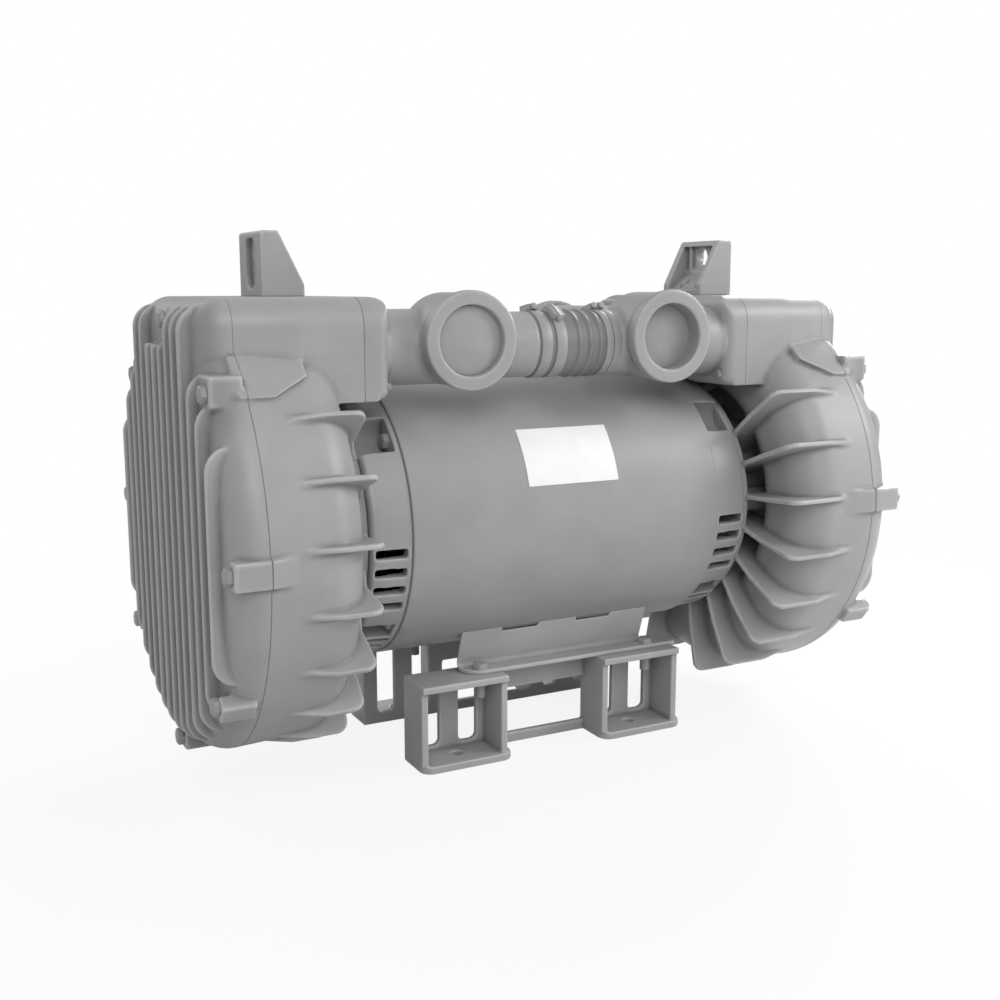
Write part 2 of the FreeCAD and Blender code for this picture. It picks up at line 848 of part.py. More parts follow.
def boss_blocks(side):
    inner = channel_bore + 4
    wide = block(side.boss_inner, side.boss_outer, -boss_radius, -inner, axis_height - boss_half,
                 axis_height + boss_half)
    low = block(side.low_boss_outer - low_boss_depth, side.low_boss_outer, -boss_radius, -inner,
                axis_height - low_boss_half, axis_height + low_boss_half)
    blocks = [at_angle(wide, angle) for angle in (side.front_boss, 180 - side.rear_boss, 270)]
    blocks += [at_angle(low, angle) for angle in (-low_boss_angle, 180 + low_boss_angle)]
    top = ring_point(0, casing_bolt_circle, 90)
    blocks.append(rod_x(side.cover_face - 28, side.boss_outer, casing_bolt_hex * 0.7, top.y, top.z))
    bolt = ring_point(0, casing_bolt_circle, 45)
    root = -box_half + 7
    hook = prism(
        [(-hook_front, bolt.z - 12, 0), (-hook_front, bolt.z + 18, 3), (root, bolt.z + 18, 0),
         (root, bolt.z - 28, 0), (-box_half - 5, bolt.z - 28, 0)],
        on_yz(side.boss_outer - hook_depth), Vector(hook_depth, 0, 0))
    arm_end = side.boss_outer - hook_depth + 6
    arm_base = axis_height + arm_low
    arm = rod_x(arm_start, arm_end, channel_radius + arm_stand).common(
        block(arm_start, arm_end, -channel_radius, root, arm_base, box_high - box_round))
    under = prism(
        [(arm_start - 5, arm_base - 9, 0), (arm_start + 40, arm_base - 9, 0), (arm_start + 40, arm_base, 0),
         (arm_start - 5, arm_base + 21, 0)],
        on_xz(-channel_radius), Vector(0, channel_radius - box_half - 5, 0))
    for piece in (hook, arm.cut(under)):
        blocks.extend([piece, mirrored(piece, y_direction)])
    return blocks


def bolt_places(side):
    """Seat and axis of each cover bolt: (x of the head's underside, y, z)."""
    places = []
    for angle in (side.front_boss, 45, 90, 135, 180 - side.rear_boss, 180 + low_boss_angle, 270,
                  -low_boss_angle):
        low = angle in (180 + low_boss_angle, -low_boss_angle)
        places.append(ring_point(side.low_boss_outer if low else side.boss_outer, casing_bolt_circle, angle))
    return places


def casing_ribs(side):
    top = channel_radius + rib_stand
    root = channel_bore - 14
    outline = [(rib_end, channel_radius - 4, 0), (rib_crest, top, 30), (side.rib_back, top, 14),
               (side.rib_back, rib_corner, 10), (mount_face + 4, flange_radius, 0),
               (mount_face + 4, hub_radius - 8, 0), (web_face - 14, hub_radius - 8, 0),
               (web_face - 14, root, 0), (rib_end, root + 6, 0)]
    rib = prism([(x, axis_height + radius, soft) for x, radius, soft in outline],
                on_xz(-rib_thickness / 2), Vector(0, rib_thickness, 0))
    rib.rotate(axis_point, x_direction, 90)
    front = [rib_first - index * rib_pitch for index in range(rib_count)]
    return [at_angle(rib, angle) for angle in front + [180 - angle for angle in front]]


def casing_outer(side):
    """The outer form of housing and cover together, before they part."""
    past_seam = block(box_seam, side.cover_face + 50, -box_high, box_high, 0, box_high + 50)
    return ring_form(side).fuse([box_form(side).common(past_seam)] + boss_blocks(side))


def make_housing(side):
    near = block(mount_face - 50, side.parting - gasket / 2, -box_high, box_high, 0, box_high + 50)
    posts = [rod_x(mount_face, web_face + 5, face_pad_radius, point.y,
                   point.z) for point in face_screw_points(mount_face)]
    flange = rod_x(mount_face, mount_face + flange_depth, flange_radius)
    half = casing_outer(side).fuse(casing_ribs(side) + posts + [flange]).common(near)
    floor = web_face + 9
    land = impeller_start - impeller_gap
    centre = turned([(floor, 0, 0), (floor, channel_inner, 0), (land, channel_inner, 0),
                     (land, channel_inner + 9, 0),
                     (side.parting + 1, channel_inner + 9, 0), (side.parting + 1, 0, 0)])
    cuts = [air_cavity(side), impeller_envelope(), centre,
            rod_x(mount_face - 1, floor + 1, shaft_bearing_radius + 5.0),
            rod_x(web_face - 5, floor + 1, seal_radius + seat_gap)]
    for place in bolt_places(side):
        cuts.append(rod_x(side.bolt_end - 2, side.parting + 1, casing_bolt_radius + thread_gap, place.y,
                          place.z))
    for point in face_screw_points(mount_face - 1):
        cuts.append(rod_x(point.x, floor + 1, face_screw_radius + hole_gap, point.y, point.z))
    for bolt_x, y, z in cap_bolt_places():
        cuts.append(rod_x(box_seam - 1, bolt_x + cap_bolt_length + 2, cap_bolt_radius + thread_gap, y, z))
    for x, y in lug_screw_places():
        cuts.append(rod_z(box_high - 10, box_high + 1, lug_screw_radius + thread_gap, x, y))
    return half.cut(cuts).removeSplitter()


def make_housing_screws():
    seat = web_face + 9
    bolt = hex_bolt(seat - bell_end + face_screw_depth, face_screw_radius, face_screw_hex)
    screws = []
    for point in face_screw_points(seat):
        right = placed(bolt, point, -x_direction)
        screws.extend([right, mirrored(right, x_direction)])
    return screws


def fin_places():
    return [(index - (fin_count - 1) / 2) * fin_pitch for index in range(fin_count)]


def make_fins(side):
    fins = []
    for y in fin_places():
        drop = math.sqrt(fin_radius ** 2 - y ** 2)
        high = axis_height + drop
        corner = fin_round
        if abs(y) < box_fin_half:
            high = box_high - 8
        if -fin_pitch < y < 2 * fin_pitch:
            high = axis_height + fin_step
            corner = 4
        fins.append(prism(
            [(side.cover_face - 22, axis_height - drop, 0), (side.fin_edge, axis_height - drop, fin_round),
             (side.fin_edge, high, corner),
             (side.cover_face - 22, high, 0)],
            on_xz(y - fin_thickness / 2), Vector(0, fin_thickness, 0)))
    return fins


def make_cover(side):
    far = block(side.parting + gasket / 2, side.fin_edge + 20, -box_high, box_high, 0, box_high + 50)
    face = impeller_end + impeller_gap
    inner = channel_inner + 9
    half = casing_outer(side).fuse(make_fins(side)).common(far)
    land = turned([(face, 0, 0), (face, inner, 0), (side.cover_face - 5, inner, 0),
                   (side.cover_face - 5, 0, 0)])
    pocket = turned([(face - 1, 0, 0), (face - 1, channel_inner - 1, 0),
                     (side.cover_face - casing_wall, channel_inner - 1, 0),
                     (side.cover_face - casing_wall, 0, 0)])
    half = half.cut([air_cavity(side), impeller_envelope()]).fuse(land).cut(pocket)
    holes = [rod_x(side.parting - 1, place.x + 1, casing_bolt_radius + hole_gap, place.y,
                   place.z) for place in bolt_places(side)]
    return half.cut(holes).removeSplitter()


def make_cover_gasket(side):
    sheet = casing_outer(side).common(block(side.parting - gasket / 2, side.parting + gasket / 2, -box_high,
                                            box_high, 0, box_high + 50))
    cuts = [air_cavity(side), rod_x(side.parting - 2, side.parting + 2, channel_inner + 9.5)]
    for place in bolt_places(side):
        cuts.append(rod_x(side.parting - 2, side.parting + 2, casing_bolt_radius + hole_gap, place.y,
                          place.z))
    return sheet.cut(cuts).removeSplitter()


def make_cover_bolts(side):
    bolts = []
    for place in bolt_places(side):
        bolt = hex_bolt(place.x - side.bolt_end, casing_bolt_radius, casing_bolt_hex)
        bolts.append(placed(bolt, place, -x_direction))
    return bolts


# Impellers and what holds them on the shaft
def make_impeller():
    hub = rod_x(impeller_start, impeller_end, hub_outer)
    disc = rod_x(impeller_middle - disc_thickness / 2, impeller_middle + disc_thickness / 2, rim_radius - 2)
    rim = tube_x(impeller_start, impeller_end, rim_radius, rim_radius - rim_depth)
    blade = block(impeller_start, impeller_end, -impeller_radius, -rim_radius + 3,
                  axis_height - blade_thickness / 2,
                  axis_height + blade_thickness / 2)
    blades = [at_angle(blade, index * 360 / blade_count) for index in range(blade_count)]
    wheel = hub.fuse([disc, rim] + blades)
    bore = rod_x(impeller_start - 1, impeller_end + 1, shaft_drive_radius + seat_gap)
    keyway = block(impeller_start - 1, impeller_end + 1, -key_width / 2, key_width / 2, axis_height,
                   axis_height + shaft_drive_radius + key_height / 2 + seat_gap)
    return wheel.cut([bore, keyway]).removeSplitter()


def make_impeller_nut():
    start = impeller_end + washer_thickness
    nut = placed(hex_head(nut_height, nut_hex), Vector(start, 0, axis_height), -x_direction)
    return nut.cut(rod_x(start - 1, start + nut_height + 1, shaft_thread_radius + thread_gap))


def make_impeller_washer():
    return tube_x(impeller_end, impeller_end + washer_thickness, nut_hex * 0.62,
                  shaft_thread_radius + hole_gap)


# Lifting lugs
def make_lug():
    base = box_high
    top = base + lug_height
    inner = lug_outer - lug_foot
    face = lug_outer - lug_wall
    front = lug_front + lug_side
    back = lug_front + lug_width - lug_side
    rib_front = back - 14
    side = prism(
        [(lug_outer, base, 0), (lug_outer, top, 3), (lug_outer - lug_top, top, 3),
         (inner, base + lug_slope, 3), (inner, base, 0)],
        on_xz(lug_front), Vector(0, lug_width, 0))
    roof = top - 7
    scoop = [(inner - 1, base + lug_base, 0), (inner + 5, base + lug_base, 0), (face, base + 36, 10),
             (face, roof, 3),
             (inner - 1, roof, 0)]
    cuts = [prism(scoop, on_xz(front), Vector(0, rib_front - front, 0)),
            prism(scoop, on_xz(rib_front + 4), Vector(0, back - rib_front - 4, 0)),
            prism([(inner - 1, base + lug_base, 0), (inner + 5, base + lug_base, 0),
                   (face - 5, base + 27, 0),
                   (face - 5, roof, 0), (inner - 1, roof, 0)], on_xz(front), Vector(0, back - front, 0))]
    middle = lug_front + lug_width / 2
    cuts.append(rod_x(inner - 1, lug_outer + 1, lug_hole_radius, middle, top - lug_hole_drop))
    recess = prism(
        [(middle - 18, base + 8, 17), (middle + 18, base + 8, 17), (middle + 18, top - 7, 12),
         (middle - 18, top - 7, 12)],
        on_yz(lug_outer - lug_recess), Vector(lug_recess + 1, 0, 0))
    cuts.append(recess)
    for x, y in lug_screw_places():
        cuts.append(rod_z(base - 1, base + 20, lug_screw_radius + hole_gap, x, y))
        cuts.append(rod_z(base + lug_base, base + 40, lug_screw_head + hole_gap, x, y))
    return side.cut(cuts).removeSplitter()


def lug_screw_places():
    middle = lug_front + lug_width / 2
    return [(lug_outer - 34.0, middle + offset) for offset in (-22.0, 12.0)]


def make_lug_screws():
    seat = box_high + lug_base
    screws = []
    for x, y in lug_screw_places():
        head = rod_z(seat, seat + 2 * lug_screw_radius, lug_screw_head, x, y)
        socket = placed(hex_head(5.0, 6.0), Vector(x, y, seat + 2 * lug_screw_radius), z_direction)
        right = head.fuse(rod_z(seat - lug_base - 9.5, seat, lug_screw_radius, x,
                                y)).removeSplitter().cut(socket)
        screws.extend([right, mirrored(right, x_direction)])
    return screws


# Air manifold: each end cap carries a port body on the front, and the hose joins the two
def make_manifold(side, depth, hose_edge):
    over_bell = rod_x(box_face - 5, mount_face + 1, shell_radius + run_gap * 10)
    cap = box_form(side).common(block(box_face, box_seam - gasket, -box_high, box_high, 0,
                                      box_high + 50)).cut(over_bell)
    body = rod_y(-port_face + 4, -port_back, port_body_radius, port_offset, port_height)
    body = body.makeFillet(22, [edge for edge in body.Edges if edge.CenterOfMass.y > -port_back - 1])
    neck = rod_x(port_offset, box_face + 1, neck_radius, -line_offset, line_height)
    collar = rod_x(hose_edge, port_offset, collar_radius, -line_offset, line_height)
    piece = body.fuse([neck, collar])
    curves = [edge for edge in piece.Edges if edge.Curve.TypeId == "Part::GeomBSplineCurve"]
    piece = piece.makeFillet(neck_flare, curves)
    rim = rod_y(-port_face, -port_face + 15, port_rim_radius, port_offset, port_height)
    spigot = rod_x(hose_edge - spigot_length, port_offset, spigot_radius, -line_offset, line_height)
    outside = piece.fuse([rim, spigot, cap])
    bore = port_bore_radius - 3
    floor = -port_face + depth + plug_thickness
    cuts = [
        rod_y(-port_face - 1, -port_face + depth, port_bore_radius, port_offset, port_height),
        rod_y(-port_face + depth - 0.01, floor, port_bore_radius - 1, port_offset, port_height),
        rod_y(floor - 1, -port_back - neck_wall, bore, port_offset, port_height),
        rod_x(hose_edge - spigot_length - 1, port_offset, spigot_radius - 4, -line_offset, line_height),
        rod_x(port_offset, box_face + casing_wall + 1, neck_radius - neck_wall, -line_offset, line_height),
        rod_x(box_face - 1, box_face + casing_wall + 1, outlet_radius - outlet_wall - 2, outlet_line,
              outlet_height)]
    for bolt_x, y, z in cap_bolt_places():
        cuts.append(rod_x(box_face - 1, box_seam + 1, cap_bolt_radius + hole_gap, y, z))
    for y, z in elbow_screw_places():
        cuts.append(rod_x(box_face - 1, box_face + casing_wall - 1, cap_bolt_radius + thread_gap, y, z))
    return outside.cut(air_chambers(side) + cuts).removeSplitter()


def cap_bolt_places():
    """Seats of the bolts through each end cap; the outer ones at the back also hold the elbow."""
    elbow_seat = box_face - gasket - outlet_plate
    low = box_low + 14
    high = box_high - 15.5
    return [(box_face, -131.0, low), (box_face, 0, low + 10), (box_face, 0, high),
            (elbow_seat, 131.0, low), (elbow_seat, 129.5, high)]


def elbow_screw_places():
    return [(outlet_line - 47.0, box_low + 14), (outlet_line - 47.0, box_high - 15.5)]


def make_manifold_gasket(side):
    sheet = box_form(side).common(block(box_seam - gasket, box_seam, -box_high, box_high, 0, box_high + 50))
    holes = [rod_x(box_seam - 3, box_seam + 1, cap_bolt_radius + hole_gap, y, z) for x, y,
             z in cap_bolt_places()]
    return sheet.cut(air_chambers(side) + holes)


def make_cap_bolts():
    bolts = []
    for x, y, z in cap_bolt_places():
        if x == box_face:
            bolts.append(placed(hex_bolt(cap_bolt_length, cap_bolt_radius, cap_bolt_hex), Vector(x, y, z),
                                x_direction))
    return bolts


def make_elbow_bolts():
    bolts = []
    for x, y, z in cap_bolt_places():
        if x < box_face:
            bolts.append(placed(hex_bolt(cap_bolt_length, cap_bolt_radius, cap_bolt_hex), Vector(x, y, z),
                                x_direction))
    seat = box_face - gasket - outlet_plate
    length = gasket + outlet_plate + casing_wall - 2
    for y, z in elbow_screw_places():
        bolts.append(placed(hex_bolt(length, cap_bolt_radius, cap_bolt_hex), Vector(seat, y, z),
                            x_direction))
    return bolts


def make_plug(depth):
    return rod_y(-port_face + depth, -port_face + depth + plug_thickness, port_bore_radius - 1 - seat_gap,
                 port_offset, port_height)


def elbow_plate(start, thickness):
    low = box_low + 5
    high = box_high - 6
    return prism(
        [(outlet_line - 56, low, 8), (box_half - 4, low, 8), (box_half - 4, high, 24),
         (outlet_line - 56, high, 8)],
        on_yz(start), Vector(thickness, 0, 0))


def make_elbow():
    plate_start = box_face - gasket - outlet_plate
    corner = Vector(outlet_offset, outlet_line, outlet_height)
    inner = outlet_radius - outlet_wall
    pipe = rod_x(outlet_offset, plate_start + 1, outlet_radius, outlet_line, outlet_height)
    port = rod_y(outlet_line, outlet_face, outlet_radius, outlet_offset, outlet_height)
    rim = rod_y(outlet_face - 20, outlet_face, outlet_rim, outlet_offset, outlet_height)
    solid = pipe.fuse([port, rim, Part.makeSphere(outlet_radius, corner),
                       elbow_plate(plate_start, outlet_plate)])
    bore = rod_y(outlet_face - outlet_depth, outlet_face + 1, port_bore_radius, outlet_offset, outlet_height)
    hollow = rod_x(outlet_offset, box_face, inner - 2, outlet_line, outlet_height)
    across = rod_y(outlet_line, outlet_face, inner - 2, outlet_offset, outlet_height)
    cuts = [bore, hollow, across, Part.makeSphere(inner - 2, corner)]
    for x, y, z in cap_bolt_places():
        if x < box_face:
            cuts.append(rod_x(x - 1, box_face, cap_bolt_radius + hole_gap, y, z))
    for y, z in elbow_screw_places():
        cuts.append(rod_x(plate_start - 1, box_face, cap_bolt_radius + hole_gap, y, z))
    return solid.cut(cuts).removeSplitter()


def make_elbow_gasket():
    cuts = [rod_x(box_face - 3, box_face + 1, outlet_radius - outlet_wall, outlet_line, outlet_height)]
    for y, z in [(y, z) for x, y, z in cap_bolt_places() if x < box_face] + elbow_screw_places():
        cuts.append(rod_x(box_face - 3, box_face + 1, cap_bolt_radius + hole_gap, y, z))
    return elbow_plate(box_face - gasket, gasket).cut(cuts)


def make_hose():
    inner = spigot_radius + seat_gap
    outer = inner + hose_wall
    outline = [(hose_start, inner, 0), (hose_start, outer, 0)]
    for middle in hose_ring_places:
        half = hose_ring_width / 2
        outline += [(middle - half, outer, 0), (middle - half + 2, outer + hose_ring, 0),
                    (middle + half - 2, outer + hose_ring, 0),
                    (middle + half, outer, 0)]
    outline += [(hose_end, outer, 0), (hose_end, inner, 0)]
    wire = rounded_wire(outline, lambda x, radius: Vector(x, -line_offset, line_height + radius))
    return Part.Face(wire).revolve(Vector(0, -line_offset, line_height), x_direction, 360)


def make_clamp(x, width, angle):
    inner = collar_radius + seat_gap
    outer = inner + clamp_band
    band = tube_x(x - width / 2, x + width / 2, outer, inner, -line_offset, line_height)
    front = -line_offset - outer
    half = clamp_housing / 2
    housing = block(x - width / 2, x + width / 2, front - 6, front + 0.4, line_height - half,
                    line_height + half)
    screw = rod_z(line_height - half - 3, line_height - half - 3 + clamp_screw_length, clamp_screw_radius,
                  x, front - 3.5)
    fitting = housing.fuse(screw)
    fitting.rotate(Vector(0, -line_offset, line_height), x_direction, -angle)
    return band.fuse(fitting).removeSplitter()


def main():
    os.makedirs("parts", exist_ok=True)
    stand = make_stand()
    save("stand_front", [stand])
    save("stand_rear", [mirrored(stand, y_direction)])
    foot = make_foot()
    save("motor_foot_front", [foot])
    save("motor_foot_rear", [mirrored(foot, y_direction)])
    save("foot_bolts", make_foot_bolts())
    save("foot_nuts", make_foot_nuts())
    save("motor_shell", [make_shell()])
    save("rating_plate", [make_label()])
    save("terminal_box", [make_conduit_box()])
    save("terminal_box_cover", [make_conduit_cover()])
    save("terminal_box_screws", make_conduit_screws())
    save("stator_core", [make_stator_core()])
    save("stator_windings", [make_windings()])
    save("shaft", [make_shaft()])
    save("rotor_core", [make_rotor_core()])
    save("rotor_cage", make_rotor_cage())
    save_pair("cooling_fan", [make_fan()])
    save_pair("end_bell", [make_bell()])
    save("bell_bolts", make_bell_bolts())
    save_pair("bearing_outer_race", [make_outer_race()])
    save_pair("bearing_inner_race", [make_inner_race()])
    save_pair("ball_set", [make_ball_set()])
    save_pair("shaft_seal", [make_seal()])
    right = blower(right_shallower, raised_boss_angle, 0.0)
    left = blower(0.0, 0.0, raised_boss_angle)
    save_two("channel_housing", [make_housing(right)], [make_housing(left)])
    save("housing_screws", make_housing_screws())
    save_two("finned_cover", [make_cover(right)], [make_cover(left)])
    save_two("cover_gasket", [make_cover_gasket(right)], [make_cover_gasket(left)])
    save_two("cover_bolts", make_cover_bolts(right), make_cover_bolts(left))
    save_pair("impeller", [make_impeller()])
    save_both("impeller_keys", [key_block()])
    save_both("impeller_nuts", [make_impeller_nut()])
    save_both("impeller_washers", [make_impeller_washer()])
    save_pair("lifting_lug", [make_lug()])
    save("lug_screws", make_lug_screws())
    save_two("manifold", [make_manifold(right, port_depth_right, hose_end)],
             [make_manifold(left, port_depth_left, -hose_start)])
    save_both("manifold_gaskets", [make_manifold_gasket(left)])
    save_both("manifold_bolts", make_cap_bolts())
    save_two("port_plug", [make_plug(port_depth_right)], [make_plug(port_depth_left)])
    save("hose", [make_hose()])
    save("hose_clamps", [make_clamp(x, width, angle) for x, width, angle in clamps])
    save_pair("outlet_elbow", [make_elbow()])
    save_both("outlet_gaskets", [make_elbow_gasket()])
    save_both("outlet_bolts", make_elbow_bolts())


main()
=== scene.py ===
import math
import bmesh
import bpy
import numpy as np
from mathutils import Matrix, Vector


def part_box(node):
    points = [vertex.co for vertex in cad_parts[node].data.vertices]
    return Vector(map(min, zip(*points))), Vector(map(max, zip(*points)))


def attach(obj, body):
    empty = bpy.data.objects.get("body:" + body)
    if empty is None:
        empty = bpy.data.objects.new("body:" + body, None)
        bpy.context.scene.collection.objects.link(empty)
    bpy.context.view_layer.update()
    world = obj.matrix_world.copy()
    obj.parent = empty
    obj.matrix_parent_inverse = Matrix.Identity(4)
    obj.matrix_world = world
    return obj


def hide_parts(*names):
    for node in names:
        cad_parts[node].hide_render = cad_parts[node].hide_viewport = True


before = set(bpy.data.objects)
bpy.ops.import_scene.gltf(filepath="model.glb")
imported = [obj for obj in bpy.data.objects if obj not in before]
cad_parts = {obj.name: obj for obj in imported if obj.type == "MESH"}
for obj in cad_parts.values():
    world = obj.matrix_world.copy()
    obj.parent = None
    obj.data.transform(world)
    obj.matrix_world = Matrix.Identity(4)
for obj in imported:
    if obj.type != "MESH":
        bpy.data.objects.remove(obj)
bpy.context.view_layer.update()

scene = bpy.context.scene
mm = 0.001
print("frame loaded:", len(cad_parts), "nodes")


class Signal:
    def __init__(self, finish, socket):
        self.finish = finish
        self.socket = socket

    def __add__(self, other):
        return self.finish.maths("ADD", self, other)

    def __sub__(self, other):
        return self.finish.maths("SUBTRACT", self, other)

    def __rsub__(self, other):
        return self.finish.maths("SUBTRACT", other, self)

    def __mul__(self, other):
        return self.finish.maths("MULTIPLY", self, other)

    def __truediv__(self, other):
        return self.finish.maths("DIVIDE", self, other)

    __radd__ = __add__
    __rmul__ = __mul__

    def clamped(self):
        return self.finish.maths("MAXIMUM", self.finish.maths("MINIMUM", self, 1.0), 0.0)


class NodeMaker:
    def __init__(self, tree):
        self.tree = tree

    def node(self, kind, settings=None, inputs=None):
        made = self.tree.nodes.new(kind)
        for key, value in (settings or {}).items():
            setattr(made, key, value)
        for key, value in (inputs or {}).items():
            if isinstance(value, Signal):
                self.tree.links.new(value.socket, made.inputs[key])
            else:
                made.inputs[key].default_value = value
        return made

    def out(self, made, name=0):
        return Signal(self, made.outputs[name])

    def maths(self, operation, *values):
        return self.out(self.node("ShaderNodeMath", {"operation": operation}, dict(enumerate(values))))


class Finish(NodeMaker):
    def __init__(self, name):
        self.material = bpy.data.materials.new(name)
        self.material.use_nodes = True
        super().__init__(self.material.node_tree)
        self.tree.nodes.clear()

    def mixed(self, factor, first, second):
        made = self.node("ShaderNodeMix", {"data_type": "RGBA", "clamp_factor": True},
                         {0: factor, 6: first, 7: second})
        return self.out(made, 2)

    def noise(self, place, scale, detail, roughness, stretch=None):
        if stretch:
            mapping = self.node("ShaderNodeMapping", {}, {"Vector": place, "Scale": stretch})
            place = self.out(mapping, "Vector")
        made = self.node("ShaderNodeTexNoise", {}, {
            "Vector": place, "Scale": scale, "Detail": detail, "Roughness": roughness})
        return self.out(made)

    def place(self):
        return self.out(self.node("ShaderNodeTexCoord"), "Object")

    def mark(self, name):
        return self.out(self.node("ShaderNodeAttribute", {"attribute_name": name}), "Fac")

    def bump(self, height, strength, distance):
        made = self.node("ShaderNodeBump", {}, {"Height": height, "Strength": strength, "Distance": distance})
        return self.out(made, "Normal")

    def surface(self, shader):
        output = self.node("ShaderNodeOutputMaterial")
        self.tree.links.new(shader.outputs[0], output.inputs["Surface"])
        return self.material


def grey(level):  # level from 0 to 255 as on a screen
    linear = (level / 255.0) ** 2.2
    return (linear, linear * 1.005, linear * 1.015, 1.0)


paintValues = {
    "castTone": 150, "sheetTone": 143, "bellTone": 146, "footTone": 157, "portTone": 147, "plugTone": 136,
    "fastenerTone": 136, "cavityTone": 70, "wornAndHighlightTone": 196, "toneSpread": 7,
    "castRoughness": 0.42, "sheetRoughness": 0.38, "fastenerRoughness": 0.42,
    "mottleScale": 14.0, "grainScale": 620.0, "pitScale": 173.6, "patchScale": 70.0, "grainDepth": 0.0004,
    "cavity": 0.85, "cavityGain": -1.3, "cavityStart": 0.06, "cavityPatches": 0.25,
    "wearAndHighlight": 0.42, "portWearAndHighlight": 0.2, "wearAndHighlightGain": 1.5, "wearAndHighlightPatches": 0.55,
    "fineShare": 0.55, "mottleRoughness": 0.16, "cavityRoughness": 0.2,
}
metalValues = {
    "cloudScale": 18.0, "dull": 0.72, "lineRoughness": 0.2, "lineStrength": 0.08, "lineDepth": 0.0003,
}
rubberValues = {
    "cloudScale": 22.0, "darker": 5, "lighter": 7, "wornAndHighlightLighter": 40, "wornAndHighlightMost": 235, "wearAndHighlight": 0.4,
    "cloudRoughness": 0.15, "grainDepth": 0.0004,
}
# painted shade between the cooling fins: a darker grey laid over the fin band of each cover
finShade = {"tone": 116, "share": 0.45, "patches": 0.3, "halfWidth": 0.2, "fade": 0.02, "start": 0.385}


# where the painted fin shade lies: inside the fin band across Y and beyond the cover's start along X
def finShadeMask(f, at):
    parts = f.node("ShaderNodeSeparateXYZ", {}, {"Vector": at})
    across = f.maths("ABSOLUTE", f.out(parts, "Y"))
    along = f.maths("ABSOLUTE", f.out(parts, "X"))
    inside = ((finShade["halfWidth"] - across) / finShade["fade"]).clamped()
    return inside * ((along - finShade["start"]) / finShade["fade"]).clamped()


def paintFinish(name, tone, roughness, grainStrength, wearAndHighlight=paintValues["wearAndHighlight"], finned=False):
    f = Finish(name)
    values = paintValues
    at = f.place()
    mottle = f.noise(at, values["mottleScale"], 4.0, 0.55)
    fine = f.noise(at, values["grainScale"], 2.0, 0.6)
    pits = f.noise(at, values["pitScale"], 3.0, 0.5)
    edge = f.mark("edge")
    patches = f.noise(at, values["patchScale"], 3.0, 0.6)
    # rubbed paint and painted highlight: raised edges turn lighter, partly paint rubbed off and partly a
    # highlight painted into the colour
    wornAndHighlight = (edge * values["wearAndHighlightGain"] - (1.0 - patches) * values["wearAndHighlightPatches"]).clamped() * wearAndHighlight
    # concave hollows and creases turn a dark grey and rougher, following the edge mark
    hollow = edge * values["cavityGain"] - values["cavityStart"] + (patches - 0.5) * values["cavityPatches"]
    hollow = hollow.clamped() * values["cavity"]
    spread = values["toneSpread"]
    base = f.mixed((mottle * 1.6 - 0.3).clamped(), grey(tone - spread), grey(tone + spread))
    if finned:  # painted shade: the fin ends of each cover are darkened, standing in for the shade between the cooling fins
        finShadeShare = finShadeMask(f, at) * (finShade["share"] + (patches - 0.5) * finShade["patches"])
        base = f.mixed(finShadeShare, base, grey(finShade["tone"]))
    base = f.mixed(hollow, base, grey(values["cavityTone"]))
    base = f.mixed(wornAndHighlight, base, grey(values["wornAndHighlightTone"]))
    rough = roughness + (mottle - 0.5) * values["mottleRoughness"] + hollow * values["cavityRoughness"]
    height = fine * values["fineShare"] + pits * (1.0 - values["fineShare"])
    normal = f.bump(height, grainStrength, values["grainDepth"])
    shader = f.node("ShaderNodeBsdfPrincipled", {}, {"Base Color": base, "Roughness": rough, "Normal": normal})
    return f.surface(shader)


def metalFinish(name, colour, roughness, stretch=(1.0, 1.0, 1.0), scale=260.0):
    f = Finish(name)
    at = f.place()
    lines = f.noise(at, scale, 4.0, 0.6, stretch)
    cloud = f.noise(at, metalValues["cloudScale"], 3.0, 0.5)
    dull = tuple(part * metalValues["dull"] for part in colour[:3]) + (1.0,)
    base = f.mixed((cloud * 1.8 - 0.4).clamped(), dull, colour)
    rough = roughness + (lines - 0.5) * metalValues["lineRoughness"]
    normal = f.bump(lines, metalValues["lineStrength"], metalValues["lineDepth"])
    shader = f.node("ShaderNodeBsdfPrincipled", {}, {
        "Base Color": base, "Metallic": 1.0, "Roughness": rough, "Normal": normal})
    return f.surface(shader)


def softFinish(name, level, roughness, scale=420.0, strength=0.15):
    f = Finish(name)
    values = rubberValues
    at = f.place()
    grain = f.noise(at, scale, 3.0, 0.6)
    cloud = f.noise(at, values["cloudScale"], 3.0, 0.5)
    cloudy = (cloud * 1.6 - 0.3).clamped()
    base = f.mixed(cloudy, grey(level - values["darker"]), grey(level + values["lighter"]))
    # rubbed surface and painted highlight: raised edges and ridges turn lighter, partly rubbed and partly a
    # highlight painted into the colour
    wornAndHighlight = (f.mark("edge") * 1.1 - 0.2).clamped() * values["wearAndHighlight"]
    base = f.mixed(wornAndHighlight, base, grey(min(level + values["wornAndHighlightLighter"], values["wornAndHighlightMost"])))
    rough = roughness + (cloud - 0.5) * values["cloudRoughness"]
    normal = f.bump(grain, strength, values["grainDepth"])
    shader = f.node("ShaderNodeBsdfPrincipled", {}, {"Base Color": base, "Roughness": rough, "Normal": normal})
    return f.surface(shader)


